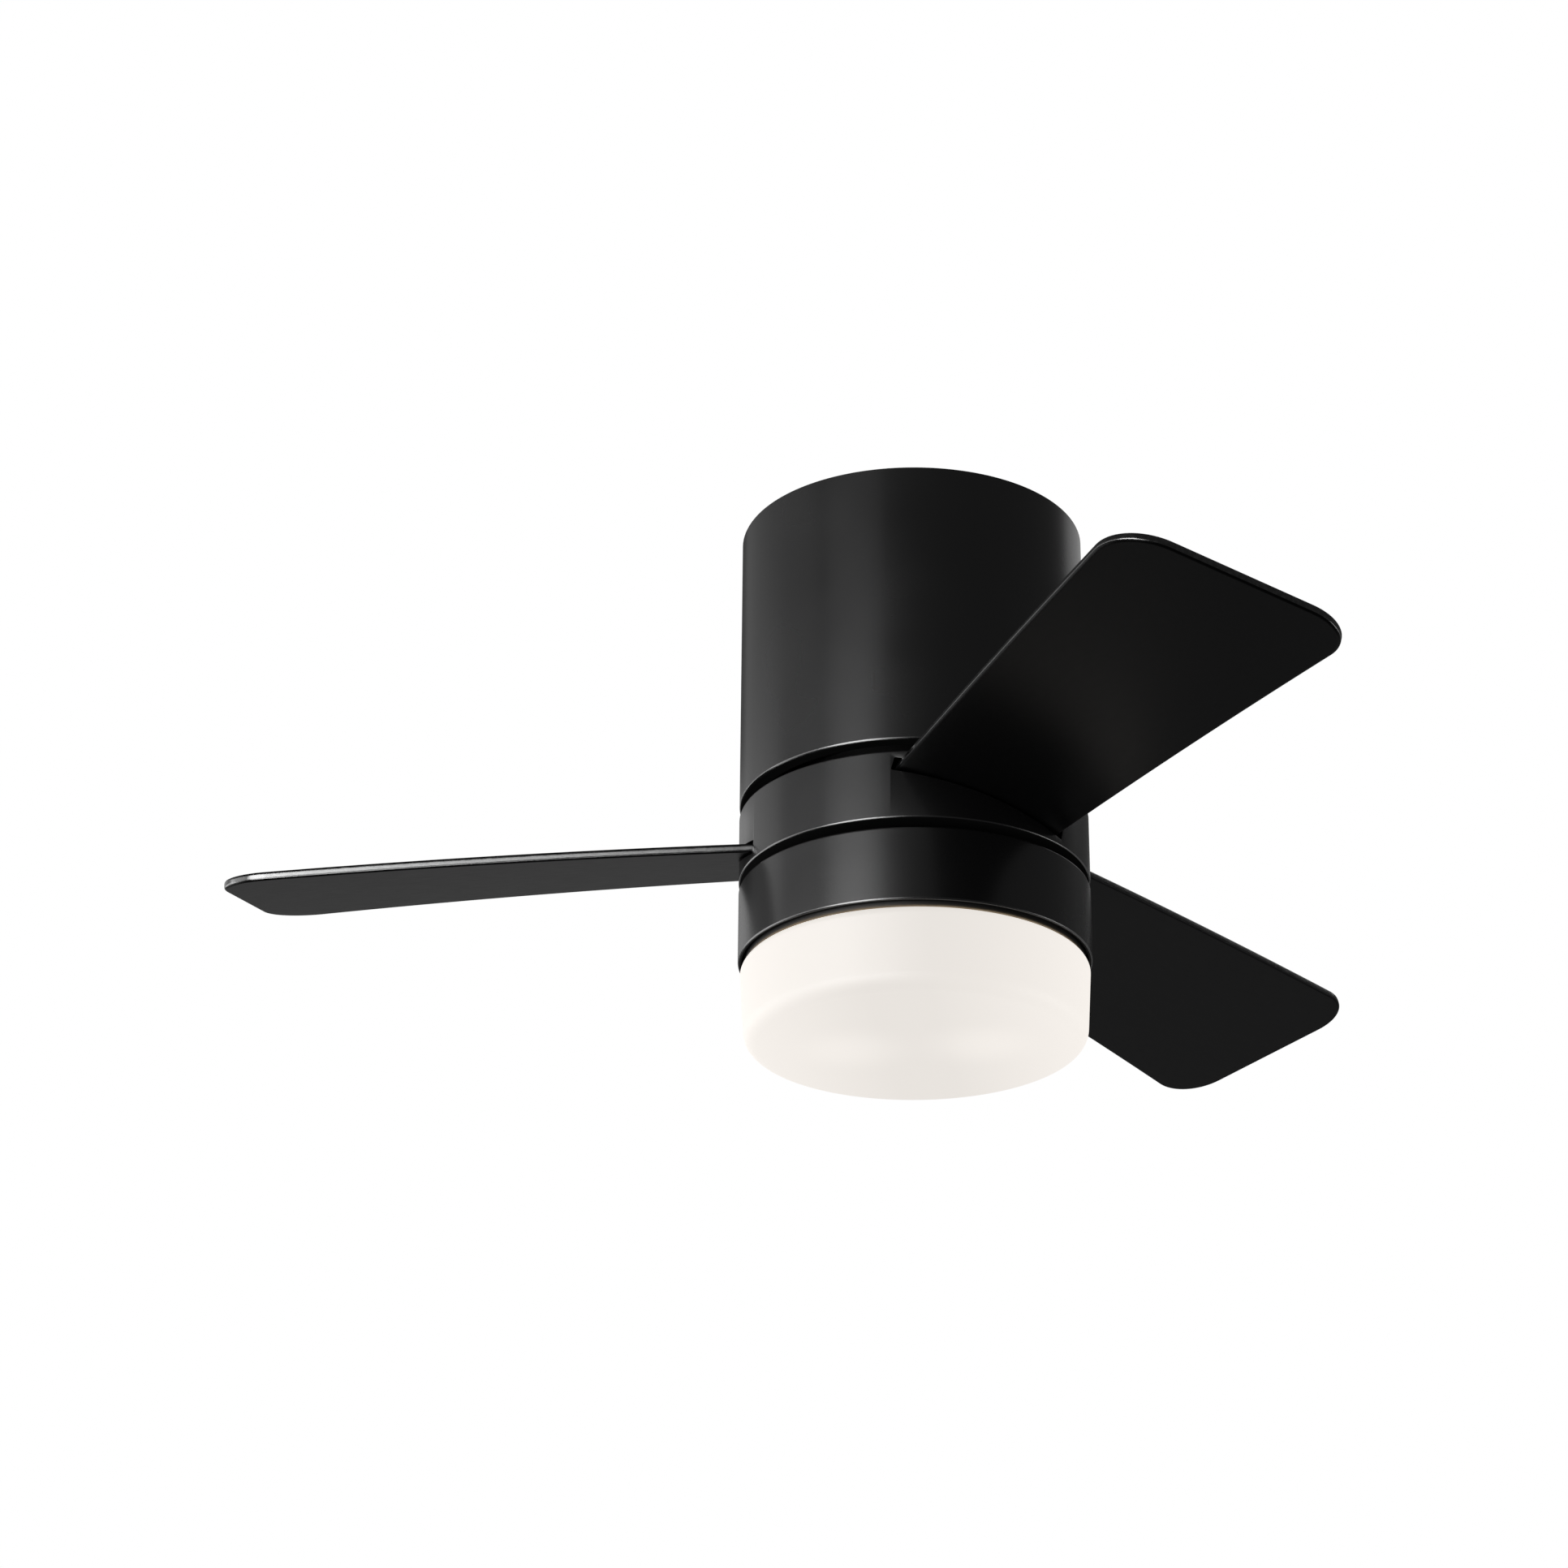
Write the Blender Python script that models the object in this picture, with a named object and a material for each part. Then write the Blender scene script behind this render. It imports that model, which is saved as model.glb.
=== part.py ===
"""A three-blade ceiling fan with a drum light, hung close to the ceiling.

Units are metres and +Z is up. The origin is the middle of the ceiling plane, so every height is negative.
The hollow shaft is fixed to the ceiling plate. The motor's outer rotor turns about it with the blade ring,
and the light hangs from the shaft's lower end.
"""

import math

import bmesh
import bpy
from mathutils import Matrix, Vector

# Driving dimensions
BODY_RADIUS = 0.1222
SHELL_WALL = 0.0012
GAP = 0.0003
HOUSING_BOTTOM = -0.2075
HOUSING_LIP = 0.112
HUB_TOP = -0.2160
HUB_BOTTOM = -0.2649
HUB_FLANGE = 0.002
HUB_FLANGE_INSIDE = 0.056
HUB_LIP = 0.1065
FITTER_TOP = -0.2714
FITTER_BOTTOM = -0.3237
SHADE_BOTTOM = -0.3830
SHELL_SEGMENTS = 40
INNER_SEGMENTS = 24
LAMP_SEGMENTS = 20

# Blades
BLADE_ANGLES = (180, -60, 60)
BLADE_AXIS = -0.2404
BLADE_PITCH = -13.65
BLADE_THICKNESS = 0.006
BLADE_ROOT = 0.086
BLADE_TIP = 0.4772
BLADE_WIDTH_AT_HUB = 0.1247
BLADE_WIDTH_AT_TIP = 0.1681
BLADE_CORNER = 0.0364
BLADE_DROOP = 0.0089
DROOP_START = 0.115
SLOT_END_CLEARANCE = 0.0024
SLOT_FACE_CLEARANCE = 0.0018

# Ceiling plate and yoke
PLATE_RADIUS = 0.1199
PLATE_THICKNESS = 0.002
PLATE_RIM = 0.016
WIRE_HOLE_RADIUS = 0.022
BOX_SCREW_RADIUS = 0.0445
HOUSING_SCREW_ANGLES = (20, 160)
HOUSING_SCREW_HEIGHT = -0.009
HOUSING_SCREW_HOLE = 0.0024
HOUSING_SCREW_SHANK = 0.002
YOKE_STRIP = 0.003
YOKE_HALF_WIDTH = 0.018
YOKE_LEG = 0.040
YOKE_FOOT = 0.062
YOKE_FLOOR = -0.092
YOKE_SCREW_X = 0.053
MACHINE_SCREW_HOLE = 0.0025
MACHINE_SCREW_SHANK = 0.0021

# Shaft and bearings
SHAFT_RADIUS = 0.0085
SHAFT_BORE = 0.0055
SHAFT_TOP = -0.080
SHAFT_BOTTOM = -0.2855
NUT_ACROSS_FLATS = 0.026
BEARING_HEIGHT = 0.012
UPPER_BEARING_TOP = -0.118
LOWER_BEARING_TOP = -0.184
INNER_RACE_OUTSIDE = 0.0112
OUTER_RACE_INSIDE = 0.0163
OUTER_RACE_OUTSIDE = 0.020
BALL_COUNT = 8

# Motor
ROTOR_RADIUS = 0.088
ROTOR_WALL = 0.004
MOTOR_TOP = -0.114
BELL_JOINT = -0.158
MOTOR_BOTTOM = -0.201
STATOR_RADIUS = 0.0615
STATOR_TOP = -0.146
STATOR_BOTTOM = -0.164
TOOTH_COUNT = 12
SLOT_FLOOR = 0.032
TOOTH_NECK = 0.054
WINDING_INSIDE = 0.034
WINDING_OUTSIDE = 0.053
BELL_LIP = 0.017
BELL_FLOOR = 0.008

# Blade irons and their screws
IRON_SCREW_U = 0.072
IRON_SCREW_V = 0.020
BLADE_SCREW_U = 0.099
BLADE_SCREW_V = 0.022
BLADE_SCREW_HOLE = 0.0021
BLADE_SCREW_SHANK = 0.0018
IRON_FOOT_HEIGHT = 0.004
IRON_PAD_THICKNESS = 0.004
CARRIER_INSIDE = 0.062
CARRIER_OUTSIDE = 0.082
CARRIER_FLANGE = 0.104
CARRIER_FLANGE_HEIGHT = 0.004

# Light
LAMP_OFFSET = 0.043
SOCKET_TOP = -0.2753
SOCKET_BOTTOM = -0.3095
JUMPER_TOP = -0.3025
SHADE_WALL = 0.003
SHADE_FILLET = 0.011
SHADE_FOOT_RADIUS = 0.1183
SHADE_SHOULDER = -0.3268
NECK_RADIUS = 0.1145
NECK_TOP = -0.3116
COLLAR_TOP = -0.309
COLLAR_BOTTOM = -0.3264
COLLAR_RADIUS = 0.1176
COLLAR_LIP = 0.1115
COLLAR_LIP_THICKNESS = 0.0022
COLLAR_WALL = 0.0028
LUG_HALF_WIDTH = 0.010
LUG_ANGLES = (30, 150, 270)
SWITCH_HEIGHT = -0.2955
SWITCH_FACE = 0.1190
SWITCH_TRAVEL = 0.006


# Helpers

def clear_scene():
    for obj in list(bpy.data.objects):
        bpy.data.objects.remove(obj)


def material(name, colour, roughness, metallic):
    made = bpy.data.materials.new(name)
    made.use_nodes = True
    shader = made.node_tree.nodes["Principled BSDF"]
    shader.inputs["Base Color"].default_value = (*colour, 1)
    shader.inputs["Roughness"].default_value = roughness
    shader.inputs["Metallic"].default_value = metallic
    made.diffuse_color = (*colour, 1)
    return made


def empty(name, parent=None, location=(0, 0, 0), rotation=(0, 0, 0)):
    made = bpy.data.objects.new(name, None)
    bpy.context.scene.collection.objects.link(made)
    made.parent = parent
    made.location = location
    made.rotation_euler = rotation
    return made


def place(name, shape, finish, parent=None, location=(0, 0, 0), rotation=(0, 0, 0)):
    """Turns a bmesh into a named object, smooth except along its real edges."""
    bmesh.ops.recalc_face_normals(shape, faces=shape.faces)
    mesh = bpy.data.meshes.new(name)
    shape.to_mesh(mesh)
    shape.free()
    mesh.materials.append(finish)
    mesh.shade_smooth()
    mesh.set_sharp_from_angle(angle=math.radians(35))
    made = bpy.data.objects.new(name, mesh)
    bpy.context.scene.collection.objects.link(made)
    made.parent = parent
    made.location = location
    made.rotation_euler = rotation
    return made


def turned(outline, segments):
    """The solid that a (radius, height) outline sweeps about Z. One that starts on the axis also ends there."""
    shape = bmesh.new()
    corners = [shape.verts.new((radius, 0, height)) for radius, height in outline]
    pairs = list(zip(corners, corners[1:]))
    if outline[0][0] > 0:
        pairs.append((corners[-1], corners[0]))
    edges = [shape.edges.new(pair) for pair in pairs]
    bmesh.ops.spin(
        shape, geom=corners + edges, axis=(0, 0, 1), cent=(0, 0, 0),
        angle=2 * math.pi, steps=segments, use_merge=True,
    )
    bmesh.ops.remove_doubles(shape, verts=shape.verts, dist=1e-6)
    return shape


def tube(inside, outside, bottom, top, segments):
    outline = [(outside, top), (outside, bottom), (inside, bottom), (inside, top)]
    return turned(outline, segments)


def prism(outline, depth, matrix=None):
    """An outline in X and Y, pushed from Z = 0 up to depth."""
    shape = bmesh.new()
    face = shape.faces.new([shape.verts.new((x, y, 0)) for x, y in outline])
    pushed = bmesh.ops.extrude_face_region(shape, geom=[face])
    raised = [item for item in pushed["geom"] if isinstance(item, bmesh.types.BMVert)]
    bmesh.ops.translate(shape, verts=raised, vec=(0, 0, depth))
    if matrix is not None:
        bmesh.ops.transform(shape, matrix=matrix, verts=shape.verts)
    return shape


def block(low, high):
    """A box between two opposite corners."""
    shape = bmesh.new()
    middle = (Vector(low) + Vector(high)) / 2
    size = Vector(high) - Vector(low)
    matrix = Matrix.Translation(middle) @ Matrix.Diagonal((*size, 1))
    bmesh.ops.create_cube(shape, size=1, matrix=matrix)
    return shape


def cylinder(radius, depth, matrix, segments=12):
    shape = bmesh.new()
    bmesh.ops.create_cone(
        shape, cap_ends=True, segments=segments, radius1=radius, radius2=radius, depth=depth, matrix=matrix,
    )
    return shape


def moved(shape, matrix):
    bmesh.ops.transform(shape, matrix=matrix, verts=shape.verts)
    return shape


def joined(shapes):
    """Several shapes in one bmesh, still separate bodies: used for cutters and for unions."""
    whole = bmesh.new()
    for shape in shapes:
        bmesh.ops.recalc_face_normals(shape, faces=shape.faces)
        mesh = bpy.data.meshes.new("scrap")
        shape.to_mesh(mesh)
        shape.free()
        whole.from_mesh(mesh)
        bpy.data.meshes.remove(mesh)
    return whole


def combine(obj, name, shapes, operation):
    """Cuts the shapes from the object, or unites them with it."""
    helper = place(name, joined(shapes), obj.data.materials[0], obj.parent)
    helper.location = obj.location
    helper.rotation_euler = obj.rotation_euler
    helper.hide_render = True
    helper.display_type = "WIRE"
    modifier = obj.modifiers.new(operation.title(), "BOOLEAN")
    modifier.operation = operation
    modifier.solver = "EXACT"
    modifier.object = helper
    return obj


def cut(obj, shapes):
    return combine(obj, obj.name + "_cutter", shapes, "DIFFERENCE")


def unite(obj, shapes):
    return combine(obj, obj.name + "_addition", shapes, "UNION")


def turn_z(degrees):
    return Matrix.Rotation(math.radians(degrees), 4, "Z")


def at(x, y, z):
    return Matrix.Translation((x, y, z))


def screw(head_radius, head_height, shank_radius, shank_length):
    """A pan-head screw with its head above Z = 0 and its shank below."""
    outline = [
        (0, head_height),
        (head_radius * 0.7, head_height),
        (head_radius, head_height * 0.5),
        (head_radius, 0),
        (shank_radius, 0),
        (shank_radius, -shank_length),
        (0, -shank_length),
    ]
    return turned(outline, 10)


def hexagon(across_flats):
    radius = across_flats / math.sqrt(3)
    turns = [math.radians(60 * corner) for corner in range(6)]
    return [(radius * math.cos(turn), radius * math.sin(turn)) for turn in turns]


def smooth_route(points, spacing):
    """Points along a Catmull-Rom curve through the given ones."""
    route = [Vector(p) for p in points]
    ends = [2 * route[0] - route[1]] + route + [2 * route[-1] - route[-2]]
    found = []
    for before, a, b, after in zip(ends, ends[1:], ends[2:], ends[3:]):
        steps = max(1, round((b - a).length / spacing))
        for step in range(steps):
            t = step / steps
            found.append(
                0.5 * (
                    2 * a
                    + (b - before) * t
                    + (2 * before - 5 * a + 4 * b - after) * t ** 2
                    + (3 * a - before - 3 * b + after) * t ** 3
                )
            )
    return found + [route[-1]]


def wire(name, points, radius, finish):
    curve = bpy.data.curves.new(name, "CURVE")
    curve.dimensions = "3D"
    curve.bevel_depth = radius
    curve.bevel_resolution = 2
    curve.use_fill_caps = True
    spline = curve.splines.new("POLY")
    spline.points.add(len(points) - 1)
    for point, place_ in zip(spline.points, points):
        point.co = (*place_, 1)
    curve.materials.append(finish)
    made = bpy.data.objects.new(name, curve)
    bpy.context.scene.collection.objects.link(made)
    return made


clear_scene()

BLACK_SHELL = material("satin_black_shell", (0.014, 0.014, 0.015), 0.38, 0.3)
BLACK_BLADE = material("satin_black_blade", (0.020, 0.020, 0.021), 0.48, 0.1)
ZINC_STEEL = material("zinc_steel", (0.52, 0.53, 0.55), 0.35, 1.0)
SHAFT_STEEL = material("shaft_steel", (0.36, 0.37, 0.39), 0.28, 1.0)
BEARING_STEEL = material("bearing_steel", (0.62, 0.63, 0.65), 0.16, 1.0)
MOTOR_ENAMEL = material("motor_enamel", (0.022, 0.022, 0.023), 0.5, 0.0)
LAMINATED_STEEL = material("laminated_steel", (0.22, 0.22, 0.23), 0.5, 1.0)
COPPER = material("varnished_copper", (0.50, 0.18, 0.06), 0.35, 1.0)
BLACK_SCREW = material("black_screw", (0.03, 0.03, 0.032), 0.4, 0.8)
PORCELAIN = material("porcelain", (0.78, 0.76, 0.71), 0.3, 0.0)
OPAL_GLASS = material("opal_glass", (0.93, 0.91, 0.87), 0.25, 0.0)
COLLAR_PLASTIC = material("collar_plastic", (0.12, 0.10, 0.08), 0.5, 0.0)
LAMP_DIFFUSER = material("lamp_diffuser", (0.95, 0.92, 0.85), 0.4, 0.0)
LAMP_PLASTIC = material("lamp_plastic", (0.85, 0.85, 0.84), 0.45, 0.0)
GREY_PLASTIC = material("grey_plastic", (0.16, 0.16, 0.17), 0.5, 0.0)
BLACK_PLASTIC = material("black_plastic", (0.02, 0.02, 0.02), 0.45, 0.0)
WIRE_SLEEVE = material("wire_sleeve", (0.75, 0.75, 0.72), 0.6, 0.0)

# Everything that turns with the blades hangs from this empty, which lies on the shaft's axis.
ROTOR = empty("rotor_axis", location=(0, 0, 0))
# The shade twists about the same axis to free its lugs.
SHADE = empty("shade_axis", location=(0, 0, 0))


# Ceiling plate, housing and yoke

def housing_screw_hole(angle, radius):
    """A radial hole through the wall that stands at this radius."""
    lying = turn_z(angle) @ at(radius, 0, HOUSING_SCREW_HEIGHT) @ Matrix.Rotation(math.pi / 2, 4, "Y")
    return cylinder(HOUSING_SCREW_HOLE, 0.010, lying)


def make_ceiling_plate():
    inside = PLATE_RADIUS - PLATE_THICKNESS
    outline = [
        (WIRE_HOLE_RADIUS, 0),
        (PLATE_RADIUS - 0.001, 0),
        (PLATE_RADIUS, -0.001),
        (PLATE_RADIUS, -PLATE_RIM),
        (inside, -PLATE_RIM),
        (inside, -PLATE_THICKNESS),
        (WIRE_HOLE_RADIUS, -PLATE_THICKNESS),
    ]
    plate = place("ceiling_plate", turned(outline, SHELL_SEGMENTS), ZINC_STEEL)
    holes = [cylinder(MACHINE_SCREW_HOLE, 0.01, at(side * YOKE_SCREW_X, 0, 0)) for side in (-1, 1)]
    half_length = 0.010
    half_slot = 0.0028
    for side in (-1, 1):
        middle = side * BOX_SCREW_RADIUS
        low = (-half_length, middle - half_slot, -0.01)
        holes.append(block(low, (half_length, middle + half_slot, 0.01)))
    for angle in HOUSING_SCREW_ANGLES:
        holes.append(housing_screw_hole(angle, PLATE_RADIUS))
    cut(plate, holes)


def make_upper_housing():
    inside = BODY_RADIUS - SHELL_WALL
    outline = [
        (BODY_RADIUS, 0),
        (BODY_RADIUS, HOUSING_BOTTOM + 0.0014),
        (BODY_RADIUS - 0.0006, HOUSING_BOTTOM + 0.0004),
        (BODY_RADIUS - 0.0016, HOUSING_BOTTOM),
        (HOUSING_LIP, HOUSING_BOTTOM),
        (HOUSING_LIP, HOUSING_BOTTOM + SHELL_WALL),
        (inside, HOUSING_BOTTOM + SHELL_WALL),
        (inside, 0),
    ]
    housing = place("upper_housing", turned(outline, SHELL_SEGMENTS), BLACK_SHELL)
    cut(housing, [housing_screw_hole(angle, BODY_RADIUS) for angle in HOUSING_SCREW_ANGLES])


def make_housing_screws():
    for number, angle in enumerate(HOUSING_SCREW_ANGLES, 1):
        turn = math.radians(angle)
        reach = BODY_RADIUS + GAP
        place(
            f"housing_screw_{number}", screw(0.004, 0.0024, HOUSING_SCREW_SHANK, 0.008), BLACK_SCREW,
            location=(reach * math.cos(turn), reach * math.sin(turn), HOUSING_SCREW_HEIGHT),
            rotation=(0, math.pi / 2, turn),
        )


def make_hanger_yoke():
    """A bent strip: two feet under the plate, two legs and a floor that holds the shaft."""
    top = -PLATE_THICKNESS - GAP
    inner = YOKE_LEG
    outer = YOKE_LEG + YOKE_STRIP
    half = [
        (YOKE_FOOT, top),
        (YOKE_FOOT, top - YOKE_STRIP),
        (outer, top - YOKE_STRIP),
        (outer, YOKE_FLOOR - YOKE_STRIP + 0.002),
        (outer - 0.002, YOKE_FLOOR - YOKE_STRIP),
    ]
    inside = [
        (inner, YOKE_FLOOR),
        (inner, top),
    ]
    outline = half + [(-x, z) for x, z in reversed(half)] + [(-x, z) for x, z in reversed(inside)] + inside
    upright = at(0, YOKE_HALF_WIDTH, 0) @ Matrix.Rotation(math.pi / 2, 4, "X")
    yoke = place("hanger_yoke", prism(outline, 2 * YOKE_HALF_WIDTH, upright), ZINC_STEEL)
    holes = [cylinder(MACHINE_SCREW_HOLE, 0.01, at(side * YOKE_SCREW_X, 0, top)) for side in (-1, 1)]
    holes.append(cylinder(SHAFT_RADIUS + GAP, 0.02, at(0, 0, YOKE_FLOOR), INNER_SEGMENTS))
    cut(yoke, holes)
    under_foot = top - YOKE_STRIP - GAP
    for number, side in enumerate((-1, 1), 1):
        place(
            f"yoke_screw_{number}", screw(0.005, 0.0035, MACHINE_SCREW_SHANK, 0.0052), ZINC_STEEL,
            location=(side * YOKE_SCREW_X, 0, under_foot), rotation=(math.pi, 0, 0),
        )


# Shaft, nuts and bearings

def make_nut(name, bottom, top):
    nut = place(name, prism(hexagon(NUT_ACROSS_FLATS), top - bottom, at(0, 0, bottom)), ZINC_STEEL)
    bore = cylinder(SHAFT_RADIUS + GAP, 2 * (top - bottom), at(0, 0, (top + bottom) / 2), INNER_SEGMENTS)
    cut(nut, [bore])


def make_shaft():
    place("motor_shaft", tube(SHAFT_BORE, SHAFT_RADIUS, SHAFT_BOTTOM, SHAFT_TOP, INNER_SEGMENTS), SHAFT_STEEL)
    make_nut("shaft_nut_top", YOKE_FLOOR + GAP, YOKE_FLOOR + 0.008)
    make_nut("shaft_nut_bottom", YOKE_FLOOR - YOKE_STRIP - 0.008, YOKE_FLOOR - YOKE_STRIP - GAP)
    make_nut("fitter_nut_top", FITTER_TOP + GAP, FITTER_TOP + 0.005)
    make_nut("fitter_nut_bottom", SOCKET_TOP - 0.006, SOCKET_TOP)


def ball_ring(height):
    """A cage with its balls: a ring whose thickness swells at each ball."""
    shape = bmesh.new()
    middle = (INNER_RACE_OUTSIDE + OUTER_RACE_INSIDE) / 2
    thin = 0.0011
    thick = (OUTER_RACE_INSIDE - INNER_RACE_OUTSIDE) / 2 - GAP
    steps = 4
    sides = 6
    loops = []
    for index in range(BALL_COUNT * steps):
        turn = 2 * math.pi * index / (BALL_COUNT * steps)
        swell = max(0, math.cos(BALL_COUNT * turn)) ** 0.5
        radius = thin + (thick - thin) * swell
        loop = []
        for side in range(sides):
            round_ = 2 * math.pi * side / sides
            reach = middle + radius * math.cos(round_)
            loop.append(shape.verts.new(
                (reach * math.cos(turn), reach * math.sin(turn), height + radius * math.sin(round_))
            ))
        loops.append(loop)
    for loop, following in zip(loops, loops[1:] + loops[:1]):
        for side in range(sides):
            beside = (side + 1) % sides
            shape.faces.new((loop[side], loop[beside], following[beside], following[side]))
    return shape


def make_bearing(name, top):
    bottom = top - BEARING_HEIGHT
    inner = tube(SHAFT_RADIUS + GAP, INNER_RACE_OUTSIDE, bottom, top, INNER_SEGMENTS)
    outer = tube(OUTER_RACE_INSIDE, OUTER_RACE_OUTSIDE, bottom, top, INNER_SEGMENTS)
    place(f"{name}_bearing_inner", inner, BEARING_STEEL)
    place(f"{name}_bearing_outer", outer, BEARING_STEEL, ROTOR)
    place(f"{name}_bearing_balls", ball_ring((top + bottom) / 2), BEARING_STEEL)


# Motor

def make_stator():
    """Twelve T-shaped teeth round a bore."""
    outline = []
    for tooth in range(TOOTH_COUNT):
        middle = 360 * tooth / TOOTH_COUNT
        for radius, offset in (
            (SLOT_FLOOR, -8), (TOOTH_NECK, -5), (TOOTH_NECK, -12.5), (STATOR_RADIUS, -12.5),
            (STATOR_RADIUS, 12.5), (TOOTH_NECK, 12.5), (TOOTH_NECK, 5), (SLOT_FLOOR, 8),
        ):
            turn = math.radians(middle + offset)
            outline.append((radius * math.cos(turn), radius * math.sin(turn)))
    core = prism(outline, STATOR_TOP - STATOR_BOTTOM, at(0, 0, STATOR_BOTTOM))
    stator = place("stator_core", core, LAMINATED_STEEL)
    bore = cylinder(SHAFT_RADIUS + GAP, 0.1, at(0, 0, STATOR_TOP), INNER_SEGMENTS)
    cut(stator, [bore])


def make_winding(name, near, far):
    """The end turns of the coils, wound into one rounded ring."""
    round_ = 0.003
    edge = math.copysign(round_, far - near)
    outline = [
        (WINDING_INSIDE, near),
        (WINDING_OUTSIDE, near),
        (WINDING_OUTSIDE, far - edge),
        (WINDING_OUTSIDE - round_, far),
        (WINDING_INSIDE + round_, far),
        (WINDING_INSIDE, far - edge),
    ]
    place(name, turned(outline, INNER_SEGMENTS), COPPER)


def make_rotor():
    inside = ROTOR_RADIUS - ROTOR_WALL
    pocket = OUTER_RACE_OUTSIDE + GAP
    hub = pocket + ROTOR_WALL
    top_bell = [
        (BELL_LIP, MOTOR_TOP),
        (0.060, MOTOR_TOP),
        (inside, MOTOR_TOP - 0.006),
        (ROTOR_RADIUS, MOTOR_TOP - 0.012),
        (ROTOR_RADIUS, BELL_JOINT),
        (inside, BELL_JOINT),
        (inside, MOTOR_TOP - 0.0135),
        (0.059, MOTOR_TOP - 0.0042),
        (hub, MOTOR_TOP - 0.0042),
        (hub, UPPER_BEARING_TOP - BEARING_HEIGHT),
        (pocket, UPPER_BEARING_TOP - BEARING_HEIGHT),
        (pocket, UPPER_BEARING_TOP + GAP),
        (BELL_LIP, UPPER_BEARING_TOP + GAP),
    ]
    floor = MOTOR_BOTTOM + BELL_FLOOR
    lower_end = LOWER_BEARING_TOP - BEARING_HEIGHT - GAP
    bottom_bell = [
        (ROTOR_RADIUS, BELL_JOINT - GAP),
        (ROTOR_RADIUS, MOTOR_BOTTOM + 0.006),
        (ROTOR_RADIUS - 0.005, MOTOR_BOTTOM),
        (BELL_LIP, MOTOR_BOTTOM),
        (BELL_LIP, lower_end),
        (pocket, lower_end),
        (pocket, LOWER_BEARING_TOP),
        (hub, LOWER_BEARING_TOP),
        (hub, floor),
        (inside, floor),
        (inside, BELL_JOINT - GAP),
    ]
    place("rotor_top_bell", turned(top_bell, INNER_SEGMENTS), MOTOR_ENAMEL, ROTOR)
    lower = place("rotor_bottom_bell", turned(bottom_bell, INNER_SEGMENTS), MOTOR_ENAMEL, ROTOR)
    cut(lower, iron_screw_holes(MOTOR_BOTTOM, floor))
    air_gap = 0.0008
    ring_top = STATOR_TOP + 0.001
    ring_bottom = STATOR_BOTTOM - 0.001
    ring = tube(STATOR_RADIUS + air_gap, inside - GAP, ring_bottom, ring_top, INNER_SEGMENTS)
    place("rotor_ring", ring, LAMINATED_STEEL, ROTOR)


def iron_screw_holes(bottom, top):
    """Clearance holes for every blade iron's two screws, in the rotor's frame."""
    holes = []
    for angle in BLADE_ANGLES:
        for side in (-1, 1):
            matrix = turn_z(angle) @ at(IRON_SCREW_U, side * IRON_SCREW_V, (bottom + top) / 2)
            holes.append(cylinder(MACHINE_SCREW_HOLE, top - bottom + 0.004, matrix))
    return holes


def make_blade_carrier():
    top = MOTOR_BOTTOM - GAP
    bottom = HUB_TOP + GAP
    outline = [
        (CARRIER_INSIDE, top),
        (CARRIER_OUTSIDE, top),
        (CARRIER_OUTSIDE, bottom + CARRIER_FLANGE_HEIGHT),
        (CARRIER_FLANGE, bottom + CARRIER_FLANGE_HEIGHT),
        (CARRIER_FLANGE, bottom),
        (CARRIER_INSIDE, bottom),
    ]
    carrier = place("blade_carrier", turned(outline, INNER_SEGMENTS), MOTOR_ENAMEL, ROTOR)
    cut(carrier, iron_screw_holes(bottom, top))


# Blade ring and blades

def half_width(u):
    """Half the blade's width at a distance u from the fan's axis: a straight flare, then a rounded corner."""
    share = (u - BODY_RADIUS) / (BLADE_TIP - BODY_RADIUS)
    flare = (BLADE_WIDTH_AT_HUB + (BLADE_WIDTH_AT_TIP - BLADE_WIDTH_AT_HUB) * share) / 2
    into_corner = max(0, u - (BLADE_TIP - BLADE_CORNER))
    return flare - BLADE_CORNER + math.sqrt(max(0, BLADE_CORNER ** 2 - into_corner ** 2))


def droop(u):
    share = max(0, u - DROOP_START) / (BLADE_TIP - DROOP_START)
    return -BLADE_DROOP * share ** 2


def blade_stations():
    straight = [BLADE_ROOT, DROOP_START, 0.175, 0.235, 0.295, 0.355, 0.405]
    corner = [
        BLADE_TIP - BLADE_CORNER * (1 - math.sin(math.radians(90 * step / 6)))
        for step in range(7)
    ]
    return straight + corner


def blade_shape():
    """Cross-sections along the blade, joined into one closed plank."""
    shape = bmesh.new()
    sections = []
    for u in blade_stations():
        wide = half_width(u)
        high = droop(u) + BLADE_THICKNESS / 2
        low = droop(u) - BLADE_THICKNESS / 2
        sections.append([
            shape.verts.new(corner)
            for corner in ((u, wide, high), (u, -wide, high), (u, -wide, low), (u, wide, low))
        ])
    for section, following in zip(sections, sections[1:]):
        for side in range(4):
            beside = (side + 1) % 4
            shape.faces.new((section[side], section[beside], following[beside], following[side]))
    shape.faces.new(sections[0])
    shape.faces.new(sections[-1])
    return shape


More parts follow.
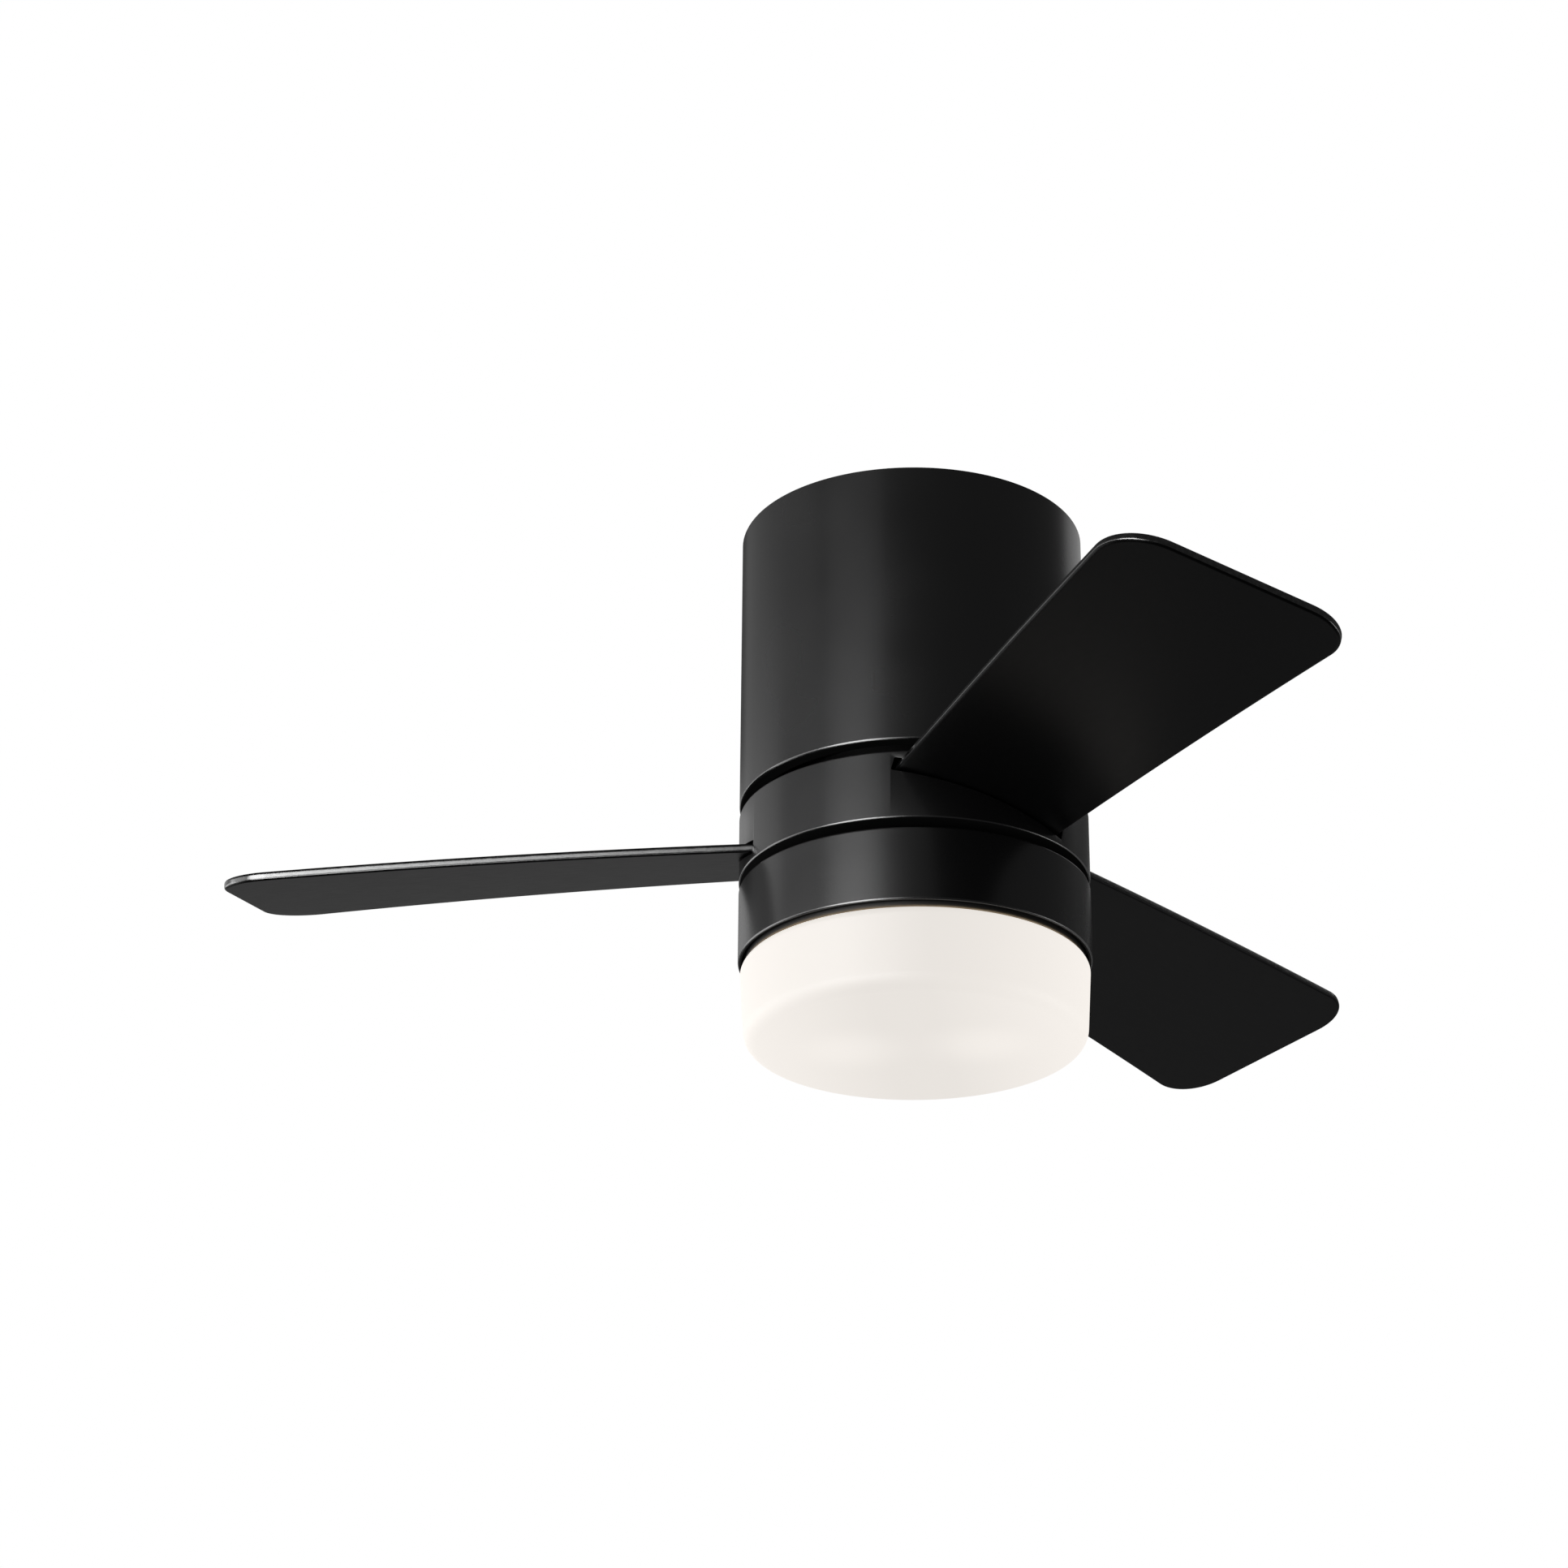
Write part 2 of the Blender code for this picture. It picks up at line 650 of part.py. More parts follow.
def make_hub_ring():
    inside = BODY_RADIUS - SHELL_WALL
    edge = 0.001
    outline = [
        (HUB_FLANGE_INSIDE, HUB_TOP),
        (BODY_RADIUS - edge, HUB_TOP),
        (BODY_RADIUS, HUB_TOP - edge),
        (BODY_RADIUS, HUB_BOTTOM + edge),
        (BODY_RADIUS - edge, HUB_BOTTOM),
        (HUB_LIP, HUB_BOTTOM),
        (HUB_LIP, HUB_BOTTOM + SHELL_WALL),
        (inside, HUB_BOTTOM + SHELL_WALL),
        (inside, HUB_TOP - HUB_FLANGE),
        (HUB_FLANGE_INSIDE, HUB_TOP - HUB_FLANGE),
    ]
    ring = place("hub_ring", turned(outline, SHELL_SEGMENTS), BLACK_SHELL, ROTOR)
    long = BLADE_WIDTH_AT_HUB / 2 + SLOT_END_CLEARANCE
    tall = BLADE_THICKNESS / 2 + SLOT_FACE_CLEARANCE
    cutters = iron_screw_holes(HUB_TOP - HUB_FLANGE, HUB_TOP)
    for angle in BLADE_ANGLES:
        tilt = turn_z(angle) @ at(0, 0, BLADE_AXIS) @ Matrix.Rotation(math.radians(BLADE_PITCH), 4, "X")
        cutters.append(moved(block((0.096, -long, -tall), (0.135, long, tall)), tilt))
    cut(ring, cutters)


def make_blade_arm(number, angle):
    """One blade with the casting that carries it, in a frame whose X runs out along the blade."""
    arm = empty(f"blade_arm_{number}", ROTOR, rotation=(0, 0, math.radians(angle)))
    pitch = math.radians(BLADE_PITCH)
    pitched = empty(f"blade_pitch_{number}", arm, (0, 0, BLADE_AXIS), (pitch, 0, 0))
    tilt = at(0, 0, BLADE_AXIS) @ Matrix.Rotation(pitch, 4, "X")
    under_flange = HUB_TOP - HUB_FLANGE - GAP
    foot_bottom = under_flange - IRON_FOOT_HEIGHT
    pad_low = BLADE_THICKNESS / 2 + GAP
    pad_high = pad_low + IRON_PAD_THICKNESS
    foot = block((0.058, -0.028, foot_bottom), (0.084, 0.028, under_flange))
    iron = place(f"blade_iron_{number}", foot, MOTOR_ENAMEL, arm)
    web = block((0.060, -0.006, BLADE_AXIS + 0.0052), (0.1115, 0.006, foot_bottom + 0.002))
    pad = moved(block((0.0862, -0.036, pad_low), (0.112, 0.036, pad_high)), tilt)
    unite(iron, [web])
    combine(iron, f"blade_iron_{number}_pad", [pad], "UNION")
    holes = []
    for side in (-1, 1):
        holes.append(cylinder(MACHINE_SCREW_HOLE, 0.012, at(IRON_SCREW_U, side * IRON_SCREW_V, under_flange)))
        through = tilt @ at(BLADE_SCREW_U, side * BLADE_SCREW_V, pad_low)
        holes.append(cylinder(BLADE_SCREW_HOLE, 0.03, through))
    cut(iron, holes)
    blade = place(f"blade_{number}", blade_shape(), BLACK_BLADE, pitched)
    places = [at(BLADE_SCREW_U, side * BLADE_SCREW_V, 0) for side in (-1, 1)]
    cut(blade, [cylinder(BLADE_SCREW_HOLE, 0.03, matrix) for matrix in places])
    for index, side in enumerate((-1, 1)):
        order = 2 * number - 1 + index
        place(
            f"iron_screw_{order}", screw(0.0045, 0.003, MACHINE_SCREW_SHANK, 0.028), ZINC_STEEL, arm,
            (IRON_SCREW_U, side * IRON_SCREW_V, foot_bottom - GAP), (math.pi, 0, 0),
        )
        place(
            f"blade_screw_{order}", screw(0.0045, 0.0024, BLADE_SCREW_SHANK, 0.0098), BLACK_SCREW, pitched,
            (BLADE_SCREW_U, side * BLADE_SCREW_V, -BLADE_THICKNESS / 2 - GAP), (math.pi, 0, 0),
        )


# Light

def bayonet_block(angle, near, far, bottom, top):
    return moved(block((near, -LUG_HALF_WIDTH, bottom), (far, LUG_HALF_WIDTH, top)), turn_z(angle))


def make_light_fitter():
    inside = BODY_RADIUS - SHELL_WALL
    bore = SHAFT_RADIUS + GAP
    edge = 0.0012
    outline = [
        (bore, FITTER_TOP),
        (BODY_RADIUS - edge, FITTER_TOP),
        (BODY_RADIUS, FITTER_TOP - edge),
        (BODY_RADIUS, FITTER_BOTTOM + 0.0006),
        (BODY_RADIUS - 0.0006, FITTER_BOTTOM),
        (inside, FITTER_BOTTOM),
        (inside, FITTER_TOP - SHELL_WALL),
        (bore, FITTER_TOP - SHELL_WALL),
    ]
    fitter = place("light_fitter", turned(outline, SHELL_SEGMENTS), BLACK_SHELL)
    tab_top = COLLAR_TOP - 0.0053
    tabs = [bayonet_block(angle, 0.1182, 0.1213, tab_top - 0.002, tab_top) for angle in LUG_ANGLES]
    unite(fitter, tabs)
    window = block((-0.0078, 0.112, SWITCH_HEIGHT - 0.0022), (0.0078, 0.130, SWITCH_HEIGHT + 0.0022))
    cut(fitter, [window])


def make_reverse_switch():
    """The slide switch that reverses the fan, seen through a window in the back of the fitter."""
    body = block((-0.011, 0.106, SWITCH_HEIGHT - 0.006), (0.011, SWITCH_FACE, SWITCH_HEIGHT + 0.006))
    place("reverse_switch", body, GREY_PLASTIC)
    knob = block((-0.0028, 0, -0.0017), (0.0028, 0.0055, 0.0017))
    place(
        "reverse_switch_knob", knob, BLACK_PLASTIC,
        location=(-SWITCH_TRAVEL / 2, SWITCH_FACE + GAP, SWITCH_HEIGHT),
    )


def make_sockets_and_bulbs():
    strip = prism(
        [(-0.066, -0.009), (-0.062, -0.013), (0.062, -0.013), (0.066, -0.009),
         (0.066, 0.009), (0.062, 0.013), (-0.062, 0.013), (-0.066, 0.009)],
        0.002, at(0, 0, SOCKET_TOP + GAP),
    )
    bracket = place("socket_bracket", strip, ZINC_STEEL)
    cut(bracket, [cylinder(SHAFT_RADIUS + GAP, 0.01, at(0, 0, SOCKET_TOP), INNER_SEGMENTS)])
    socket = [
        (0, SOCKET_TOP),
        (0.0150, SOCKET_TOP),
        (0.0185, SOCKET_TOP - 0.0035),
        (0.0185, SOCKET_BOTTOM),
        (0.0142, SOCKET_BOTTOM),
        (0.0142, SOCKET_TOP - 0.008),
        (0, SOCKET_TOP - 0.008),
    ]
    base_bottom = SOCKET_BOTTOM - 0.026
    base = [
        (0, SOCKET_TOP - 0.009),
        (0.0045, SOCKET_TOP - 0.0095),
        (0.0132, SOCKET_TOP - 0.014),
        (0.0132, SOCKET_BOTTOM - 0.001),
        (0.0150, SOCKET_BOTTOM - 0.004),
        (0.0200, SOCKET_BOTTOM - 0.014),
        (0.0224, base_bottom),
        (0, base_bottom),
    ]
    dome_top = base_bottom - GAP
    dome = [
        (0, dome_top),
        (0.0226, dome_top),
        (0.0230, dome_top - 0.006),
        (0.0212, dome_top - 0.016),
        (0.0165, dome_top - 0.0245),
        (0.0092, dome_top - 0.0310),
        (0, dome_top - 0.0333),
    ]
    for number, side in enumerate((-1, 1), 1):
        middle = (side * LAMP_OFFSET, 0, 0)
        place(f"socket_{number}", turned(socket, LAMP_SEGMENTS), PORCELAIN, location=middle)
        place(f"bulb_{number}_base", turned(base, LAMP_SEGMENTS), LAMP_PLASTIC, location=middle)
        place(f"bulb_{number}", turned(dome, LAMP_SEGMENTS), LAMP_DIFFUSER, location=middle)


def shade_outline():
    """Outside from the middle of the flat bottom up to the neck, then back down inside, one wall away."""
    taper_foot = SHADE_BOTTOM + SHADE_FILLET
    centre = SHADE_FOOT_RADIUS - SHADE_FILLET
    inner_neck_radius = NECK_RADIUS - SHADE_WALL
    bulge = [
        (0.1206, SHADE_SHOULDER - 0.0102),
        (0.1208, SHADE_SHOULDER - 0.0058),
        (0.1192, SHADE_SHOULDER - 0.0018),
        (0.1160, SHADE_SHOULDER),
    ]
    neck = [(NECK_RADIUS, SHADE_SHOULDER), (NECK_RADIUS, NECK_TOP)]
    inner_neck = [
        (inner_neck_radius, NECK_TOP),
        (inner_neck_radius, SHADE_SHOULDER - 0.0018),
        (0.1150, SHADE_SHOULDER - 0.0032),
    ]
    inner_bulge = [(0.1172, SHADE_SHOULDER - 0.0060), (0.1176, SHADE_SHOULDER - 0.0102)]
    outside = [(0, SHADE_BOTTOM)]
    inside = []
    for step in range(4):
        turn = math.radians(90 * step / 3)
        outside.append((centre + SHADE_FILLET * math.sin(turn), taper_foot - SHADE_FILLET * math.cos(turn)))
        small = SHADE_FILLET - SHADE_WALL
        inside.append((centre + small * math.cos(turn), taper_foot - small * math.sin(turn)))
    return outside + bulge + neck + inner_neck + inner_bulge + inside + [(0, SHADE_BOTTOM + SHADE_WALL)]


def make_shade():
    inside = COLLAR_RADIUS - COLLAR_WALL
    outline = [
        (COLLAR_LIP, COLLAR_TOP),
        (COLLAR_RADIUS, COLLAR_TOP),
        (COLLAR_RADIUS, COLLAR_BOTTOM),
        (inside, COLLAR_BOTTOM),
        (inside, COLLAR_TOP - COLLAR_LIP_THICKNESS),
        (COLLAR_LIP, COLLAR_TOP - COLLAR_LIP_THICKNESS),
    ]
    collar = place("shade_collar", turned(outline, SHELL_SEGMENTS), COLLAR_PLASTIC, SHADE)
    lug_top = COLLAR_TOP - 0.002
    unite(collar, [bayonet_block(angle, 0.1160, 0.1194, lug_top - 0.003, lug_top) for angle in LUG_ANGLES])
    place("glass_shade", turned(shade_outline(), SHELL_SEGMENTS), OPAL_GLASS, SHADE)


# Wiring and control

def make_wiring():
    under_plate = -PLATE_THICKNESS - GAP
    place("remote_receiver", block((-0.040, 0.060, -0.030), (0.040, 0.100, under_plate)), BLACK_PLASTIC)
    place("run_capacitor", block((-0.025, -0.086, -0.030), (0.025, -0.060, under_plate)), GREY_PLASTIC)
    from_receiver = [
        (0, 0.0597, -0.018),
        (0, 0.048, -0.020),
        (0, 0.030, -0.032),
        (0, 0.012, -0.052),
        (0, 0.002, -0.070),
        (0, 0, SHAFT_TOP),
    ]
    to_socket = [
        (0, 0, SHAFT_BOTTOM),
        (0.0020, 0, SHAFT_BOTTOM - 0.008),
        (0.0075, 0, SHAFT_BOTTOM - 0.0125),
        (0.0150, 0, SHAFT_BOTTOM - 0.0135),
        (0.0240, 0, SHAFT_BOTTOM - 0.012),
    ]
    lead = smooth_route(from_receiver, 0.009) + smooth_route(to_socket, 0.004)
    wire("lamp_lead", lead, 0.0020, WIRE_SLEEVE)
    jumper = [
        (0.0240, 0.004, JUMPER_TOP),
        (0.0120, 0.008, JUMPER_TOP - 0.004),
        (0, 0.009, JUMPER_TOP - 0.005),
        (-0.0120, 0.008, JUMPER_TOP - 0.004),
        (-0.0240, 0.004, JUMPER_TOP),
    ]
    wire("socket_jumper", smooth_route(jumper, 0.004), 0.0018, WIRE_SLEEVE)


def main():
    make_ceiling_plate()
    make_upper_housing()
    make_housing_screws()
    make_hanger_yoke()
    make_shaft()
    make_bearing("upper", UPPER_BEARING_TOP)
    make_bearing("lower", LOWER_BEARING_TOP)
    make_stator()
    make_winding("winding_top", STATOR_TOP + GAP, STATOR_TOP + 0.011)
    make_winding("winding_bottom", STATOR_BOTTOM - GAP, STATOR_BOTTOM - 0.011)
    make_rotor()
    make_blade_carrier()
    make_hub_ring()
    for number, angle in enumerate(BLADE_ANGLES, 1):
        make_blade_arm(number, angle)
    make_light_fitter()
    make_reverse_switch()
    make_sockets_and_bulbs()
    make_shade()
    make_wiring()


main()
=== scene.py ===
"""Looks for a three-blade ceiling fan with a drum light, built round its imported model.

Units are metres and +Z is up. The origin is the middle of the ceiling plane, so every height is negative.
"""

from math import asin, copysign, cos, hypot, pi, radians, sin, sqrt, tan

import bmesh
import bpy
from mathutils import Matrix, Quaternion, Vector


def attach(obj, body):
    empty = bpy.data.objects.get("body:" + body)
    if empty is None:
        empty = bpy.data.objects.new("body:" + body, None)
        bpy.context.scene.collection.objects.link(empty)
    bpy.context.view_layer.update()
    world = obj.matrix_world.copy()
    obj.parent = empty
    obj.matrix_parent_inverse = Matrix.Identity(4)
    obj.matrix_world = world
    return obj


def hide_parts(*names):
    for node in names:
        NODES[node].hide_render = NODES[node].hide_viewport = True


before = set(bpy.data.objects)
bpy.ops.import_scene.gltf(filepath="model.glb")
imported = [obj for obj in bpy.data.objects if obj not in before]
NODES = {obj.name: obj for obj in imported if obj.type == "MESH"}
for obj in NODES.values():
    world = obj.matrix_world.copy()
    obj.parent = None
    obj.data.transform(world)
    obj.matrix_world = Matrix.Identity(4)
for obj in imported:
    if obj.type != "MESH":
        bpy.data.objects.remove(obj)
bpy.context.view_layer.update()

# Shells
BODY_RADIUS = 0.1222
SHELL_WALL = 0.0012
SHELL_INSIDE = BODY_RADIUS - SHELL_WALL
# Faces nearer the axis than this, inside the shells and under their rims, get the painted shade coat.
PAINTED_SHADE_INSIDE = BODY_RADIUS - 0.0010
GAP = 0.0003
HOUSING_BOTTOM = -0.2075
HOUSING_LIP = 0.112
HUB_TOP = -0.2160
HUB_BOTTOM = -0.2649
HUB_FLANGE = 0.002
HUB_FLANGE_INSIDE = 0.056
HUB_LIP = 0.1065
FITTER_TOP = -0.2714
FITTER_BOTTOM = -0.3237
SHELL_SEGMENTS = 192
LAMP_SEGMENTS = 64

# Blades
BLADE_ANGLES = (180, -60, 60)
BLADE_AXIS = -0.2404
BLADE_PITCH = -13.65
BLADE_THICKNESS = 0.006
BLADE_ROOT = 0.086
BLADE_TIP = 0.4772
BLADE_WIDTH_AT_HUB = 0.1247
BLADE_WIDTH_AT_TIP = 0.1681
BLADE_CORNER = 0.0364
BLADE_DROOP = 0.0089
DROOP_START = 0.115
BLADE_ARRIS = 0.0020
SLOT_END_CLEARANCE = 0.0024
SLOT_FACE_CLEARANCE = 0.0018

# Ceiling plate and yoke
PLATE_RADIUS = 0.1199
PLATE_THICKNESS = 0.002
PLATE_RIM = 0.016
WIRE_HOLE_RADIUS = 0.022
BOX_SCREW_RADIUS = 0.0445
HOUSING_SCREW_ANGLES = (20, 160)
HOUSING_SCREW_HEIGHT = -0.009
YOKE_STRIP = 0.003
YOKE_FLOOR = -0.092
YOKE_SCREW_X = 0.053
SCREW_HOLE = 0.0025
THREAD_DEPTH = 0.00032

# Shaft, bearings and motor
SHAFT_RADIUS = 0.0085
SHAFT_BORE = 0.0055
SHAFT_TOP = -0.080
SHAFT_BOTTOM = -0.2855
BEARING_HEIGHT = 0.012
BEARING_TOPS = {"upper": -0.118, "lower": -0.184}
BALL_PATH = 0.01375
BALL_RADIUS = 0.0025
BALL_COUNT = 8
OUTER_RACE_OUTSIDE = 0.020
NUT_ACROSS_FLATS = 0.026
ROTOR_RADIUS = 0.088
ROTOR_WALL = 0.004
MOTOR_TOP = -0.114
BELL_JOINT = -0.158
MOTOR_BOTTOM = -0.201
BELL_LIP = 0.017
BELL_FLOOR = 0.008
STATOR_TOP = -0.146
STATOR_BOTTOM = -0.164
STATOR_RADIUS = 0.0615
TOOTH_COUNT = 12
SLOT_FLOOR = 0.032
TOOTH_NECK = 0.054
MAGNET_RING_INSIDE = 0.0623
MAGNET_RING_OUTSIDE = 0.0837
WINDING_INSIDE = 0.034
WINDING_OUTSIDE = 0.053

# Blade irons and their screws
IRON_SCREW_U = 0.072
IRON_SCREW_V = 0.020
BLADE_SCREW_U = 0.099
BLADE_SCREW_V = 0.022
CARRIER_INSIDE = 0.062
CARRIER_OUTSIDE = 0.082
CARRIER_FLANGE = 0.104
CARRIER_FLANGE_HEIGHT = 0.004
IRON_FOOT_HEIGHT = 0.004

# Light
LAMP_OFFSET = 0.043
SOCKET_TOP = -0.2753
SOCKET_BOTTOM = -0.3095
SHADE_BOTTOM = -0.3830
SHADE_WALL = 0.003
SHADE_SHOULDER = -0.3268
NECK_RADIUS = 0.1145
NECK_TOP = -0.3116
COLLAR_TOP = -0.309
COLLAR_BOTTOM = -0.3264
COLLAR_RADIUS = 0.1176
COLLAR_LIP = 0.1115
COLLAR_LIP_THICKNESS = 0.0022
COLLAR_WALL = 0.0028
LUG_HALF_WIDTH = 0.010
COLLAR_LUG_REACH = (0.1160, 0.1194)
BAND_TAB_REACH = (0.1182, 0.1213)
LUG_ANGLES = (30, 150, 270)
SWITCH_HEIGHT = -0.2955
SWITCH_FACE = 0.1190
SWITCH_TRAVEL = 0.006
SWITCH_WINDOW_WIDE = 0.0156
SWITCH_WINDOW_TALL = 0.0044
SOCKET_RADIUS = 0.0185
SOCKET_BORE = 0.0142
CAP_RADIUS = 0.0132
JUMPER_TOP = -0.3025
BAND_HEM = 0.0026
BULB_WIDEST = -0.3418
BULB_RADIUS = 0.023
BULB_TIP = -0.3691

# Stage
LAMP_DISTANCE = 2.8
LAMP_AIM = (0, 0, -0.25)
ROOM_GLOW = 0.07
FLOOR_HEIGHT = -1.75
FLOOR_REACH = 6
CAMERA_AIM = (0, 0, -0.1863)
CAMERA_DISTANCE = 2.6
CAMERA_AZIMUTH = 5.564
CAMERA_ELEVATION = -24.094
CAMERA_ROLL = -0.495
CAMERA_LENS = 84.81
CAMERA_SHIFT = -0.0827


# Shapes

def polar(radius, degrees):
    angle = radians(degrees)
    return radius * cos(angle), radius * sin(angle)


def rounded(corners, steps=6):
    """Turns (radius, height, rounding) corners into points, with a close one beside each arc."""
    found = []
    for index, (x, z, rounding) in enumerate(corners):
        here = Vector((x, z))
        if rounding == 0:
            found.append(here)
            continue
        before = (Vector(corners[index - 1][:2]) - here).normalized()
        after = (Vector(corners[(index + 1) % len(corners)][:2]) - here).normalized()
        half = before.angle(after) / 2
        reach = rounding / tan(half)
        centre = here + (before + after).normalized() * rounding / sin(half)
        start = here + before * reach - centre
        end = here + after * reach - centre
        sweep = pi - 2 * half
        beside = min(0.0004, rounding / 4)
        found.append(here + before * (reach + beside))
        for step in range(steps + 1):
            turned_by = sweep * step / steps
            along = start * sin(sweep - turned_by) + end * sin(turned_by)
            found.append(centre + along / sin(sweep))
        found.append(here + after * (reach + beside))
    return found


def mesh_of(name, points, faces):
    shape = bmesh.new()
    corners = [shape.verts.new(point) for point in points]
    for face in faces:
        shape.faces.new([corners[index] for index in face])
    bmesh.ops.recalc_face_normals(shape, faces=shape.faces)
    mesh = bpy.data.meshes.new(name)
    shape.to_mesh(mesh)
    shape.free()
    return mesh


def skin(rings, size, closed=False):
    """Quads between successive rings of points, and from the last to the first if they are closed."""
    faces = []
    for ring in range(rings if closed else rings - 1):
        low = ring * size
        high = (ring + 1) % rings * size
        for index in range(size):
            beside = (index + 1) % size
            faces.append([low + index, low + beside, high + beside, high + index])
    return faces


def turned(name, outline, segments=SHELL_SEGMENTS, place=None):
    """The solid that (radius, height) points sweep about Z. Ends on the axis need no closing wall."""
    points = []
    rings = []
    for x, z in outline:
        first = len(points)
        if x < 1e-7:
            points.append((0, 0, z))
            rings.append([first] * segments)
            continue
        points += [(*polar(x, 360 * index / segments), z) for index in range(segments)]
        rings.append(list(range(first, first + segments)))
    pairs = list(zip(rings, rings[1:]))
    if outline[0][0] > 1e-7:
        pairs.append((rings[-1], rings[0]))
    faces = []
    for low, high in pairs:
        for index in range(segments):
            beside = (index + 1) % segments
            face = list(dict.fromkeys((low[index], low[beside], high[beside], high[index])))
            if len(face) > 2:
                faces.append(face)
    return new_object(name, mesh_of(name, points, faces), place)


def prism(name, outline, low, high):
    """An outline in X and Y between two heights."""
    count = len(outline)
    points = [(x, y, low) for x, y in outline] + [(x, y, high) for x, y in outline]
    faces = [list(range(count)), list(range(count, 2 * count))] + skin(2, count)
    return mesh_of(name, points, faces)


def block(low, high):
    outline = [(low[0], low[1]), (high[0], low[1]), (high[0], high[1]), (low[0], high[1])]
    return prism("block", outline, low[2], high[2])


def rod(radius, depth, segments=32):
    outline = [polar(radius, 360 * index / segments) for index in range(segments)]
    return prism("rod", outline, -depth / 2, depth / 2)


def at(x, y, z):
    return Matrix.Translation((x, y, z))


def turn(degrees, axis="Z"):
    return Matrix.Rotation(radians(degrees), 4, axis)


def moved(mesh, matrix):
    mesh.transform(matrix)
    return mesh


def merged(meshes):
    shape = bmesh.new()
    for mesh in meshes:
        shape.from_mesh(mesh)
        bpy.data.meshes.remove(mesh)
    mesh = bpy.data.meshes.new("merged")
    shape.to_mesh(mesh)
    shape.free()
    return mesh


def settle(obj):
    """Replaces an object's mesh with what its modifiers make of it."""
    bpy.context.view_layer.update()
    graph = bpy.context.evaluated_depsgraph_get()
    final = bpy.data.meshes.new_from_object(obj.evaluated_get(graph))
    obj.modifiers.clear()
    obj.data = final


def carve(obj, meshes, operation="DIFFERENCE"):
    """Cuts the meshes from the object, or unites them with it."""
    helper = new_object("helper", merged(meshes))
    modifier = obj.modifiers.new("carve", "BOOLEAN")
    modifier.object = helper
    modifier.operation = operation
    modifier.solver = "EXACT"
    settle(obj)
    bpy.data.objects.remove(helper)


def soften(obj, width, segments=3, angle=35):
    """Rounds every edge sharper than the angle."""
    modifier = obj.modifiers.new("soften", "BEVEL")
    modifier.width = width
    modifier.segments = segments
    modifier.limit_method = "ANGLE"
    modifier.angle_limit = radians(angle)
    modifier.harden_normals = False
    settle(obj)


def new_object(name, data, matrix=None):
    obj = bpy.data.objects.new(name, data)
    bpy.context.scene.collection.objects.link(obj)
    if matrix is not None:
        obj.matrix_world = matrix
    return obj


def lathe(name, corners, steps=6, segments=SHELL_SEGMENTS):
    """A solid turned from rounded corners."""
    return turned(name, rounded(corners, steps), segments)


def hoop(name, inside, outside, bottom, top, rounding, steps, segments=128):
    """A plain ring of rectangular section."""
    corners = [(inside, bottom), (outside, bottom), (outside, top), (inside, top)]
    return lathe(name, [(*corner, rounding) for corner in corners], steps, segments)


def settle_place(obj):
    """Moves an object's place into its mesh, which keeps its own coordinates for the finishes to read."""
    mesh = obj.data
    own = mesh.attributes.new("own", "FLOAT_VECTOR", "POINT")
    own.data.foreach_set("vector", [value for vertex in mesh.vertices for value in vertex.co])
    mesh.transform(obj.matrix_world)
    obj.matrix_world = Matrix.Identity(4)


def finish(obj, looks, body, *nodes, sharp=35):
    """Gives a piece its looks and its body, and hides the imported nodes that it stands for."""
    looks = [LOOKS[key] for key in ((looks,) if isinstance(looks, str) else looks)]
    choices = [polygon.material_index for polygon in obj.data.polygons]
    obj.data.materials.clear()
    for look in looks:
        obj.data.materials.append(look.material)
    if len(looks) > 1:
        obj.data.polygons.foreach_set("material_index", choices)
    obj.data.shade_smooth()
    obj.data.set_sharp_from_angle(angle=radians(sharp))
    settle_place(obj)
    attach(obj, body)
    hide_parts(*nodes)


def refined(node, name, look, body, width):
    """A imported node's shape, with its flat faces put back together and its edges rounded."""
    mesh = NODES[node].data.copy()
    mesh.materials.clear()
    shape = bmesh.new()
    shape.from_mesh(mesh)
    bmesh.ops.remove_doubles(shape, verts=shape.verts, dist=1e-6)
    flat = radians(0.5)
    bmesh.ops.dissolve_limit(shape, angle_limit=flat, verts=shape.verts, edges=shape.edges)
    shape.to_mesh(mesh)
    shape.free()
    if mesh.has_custom_normals:
        mesh.attributes.remove(mesh.attributes["custom_normal"])
    obj = new_object(name, mesh)
    soften(obj, width)
    finish(obj, look, body, node, sharp=30)


# Finishes

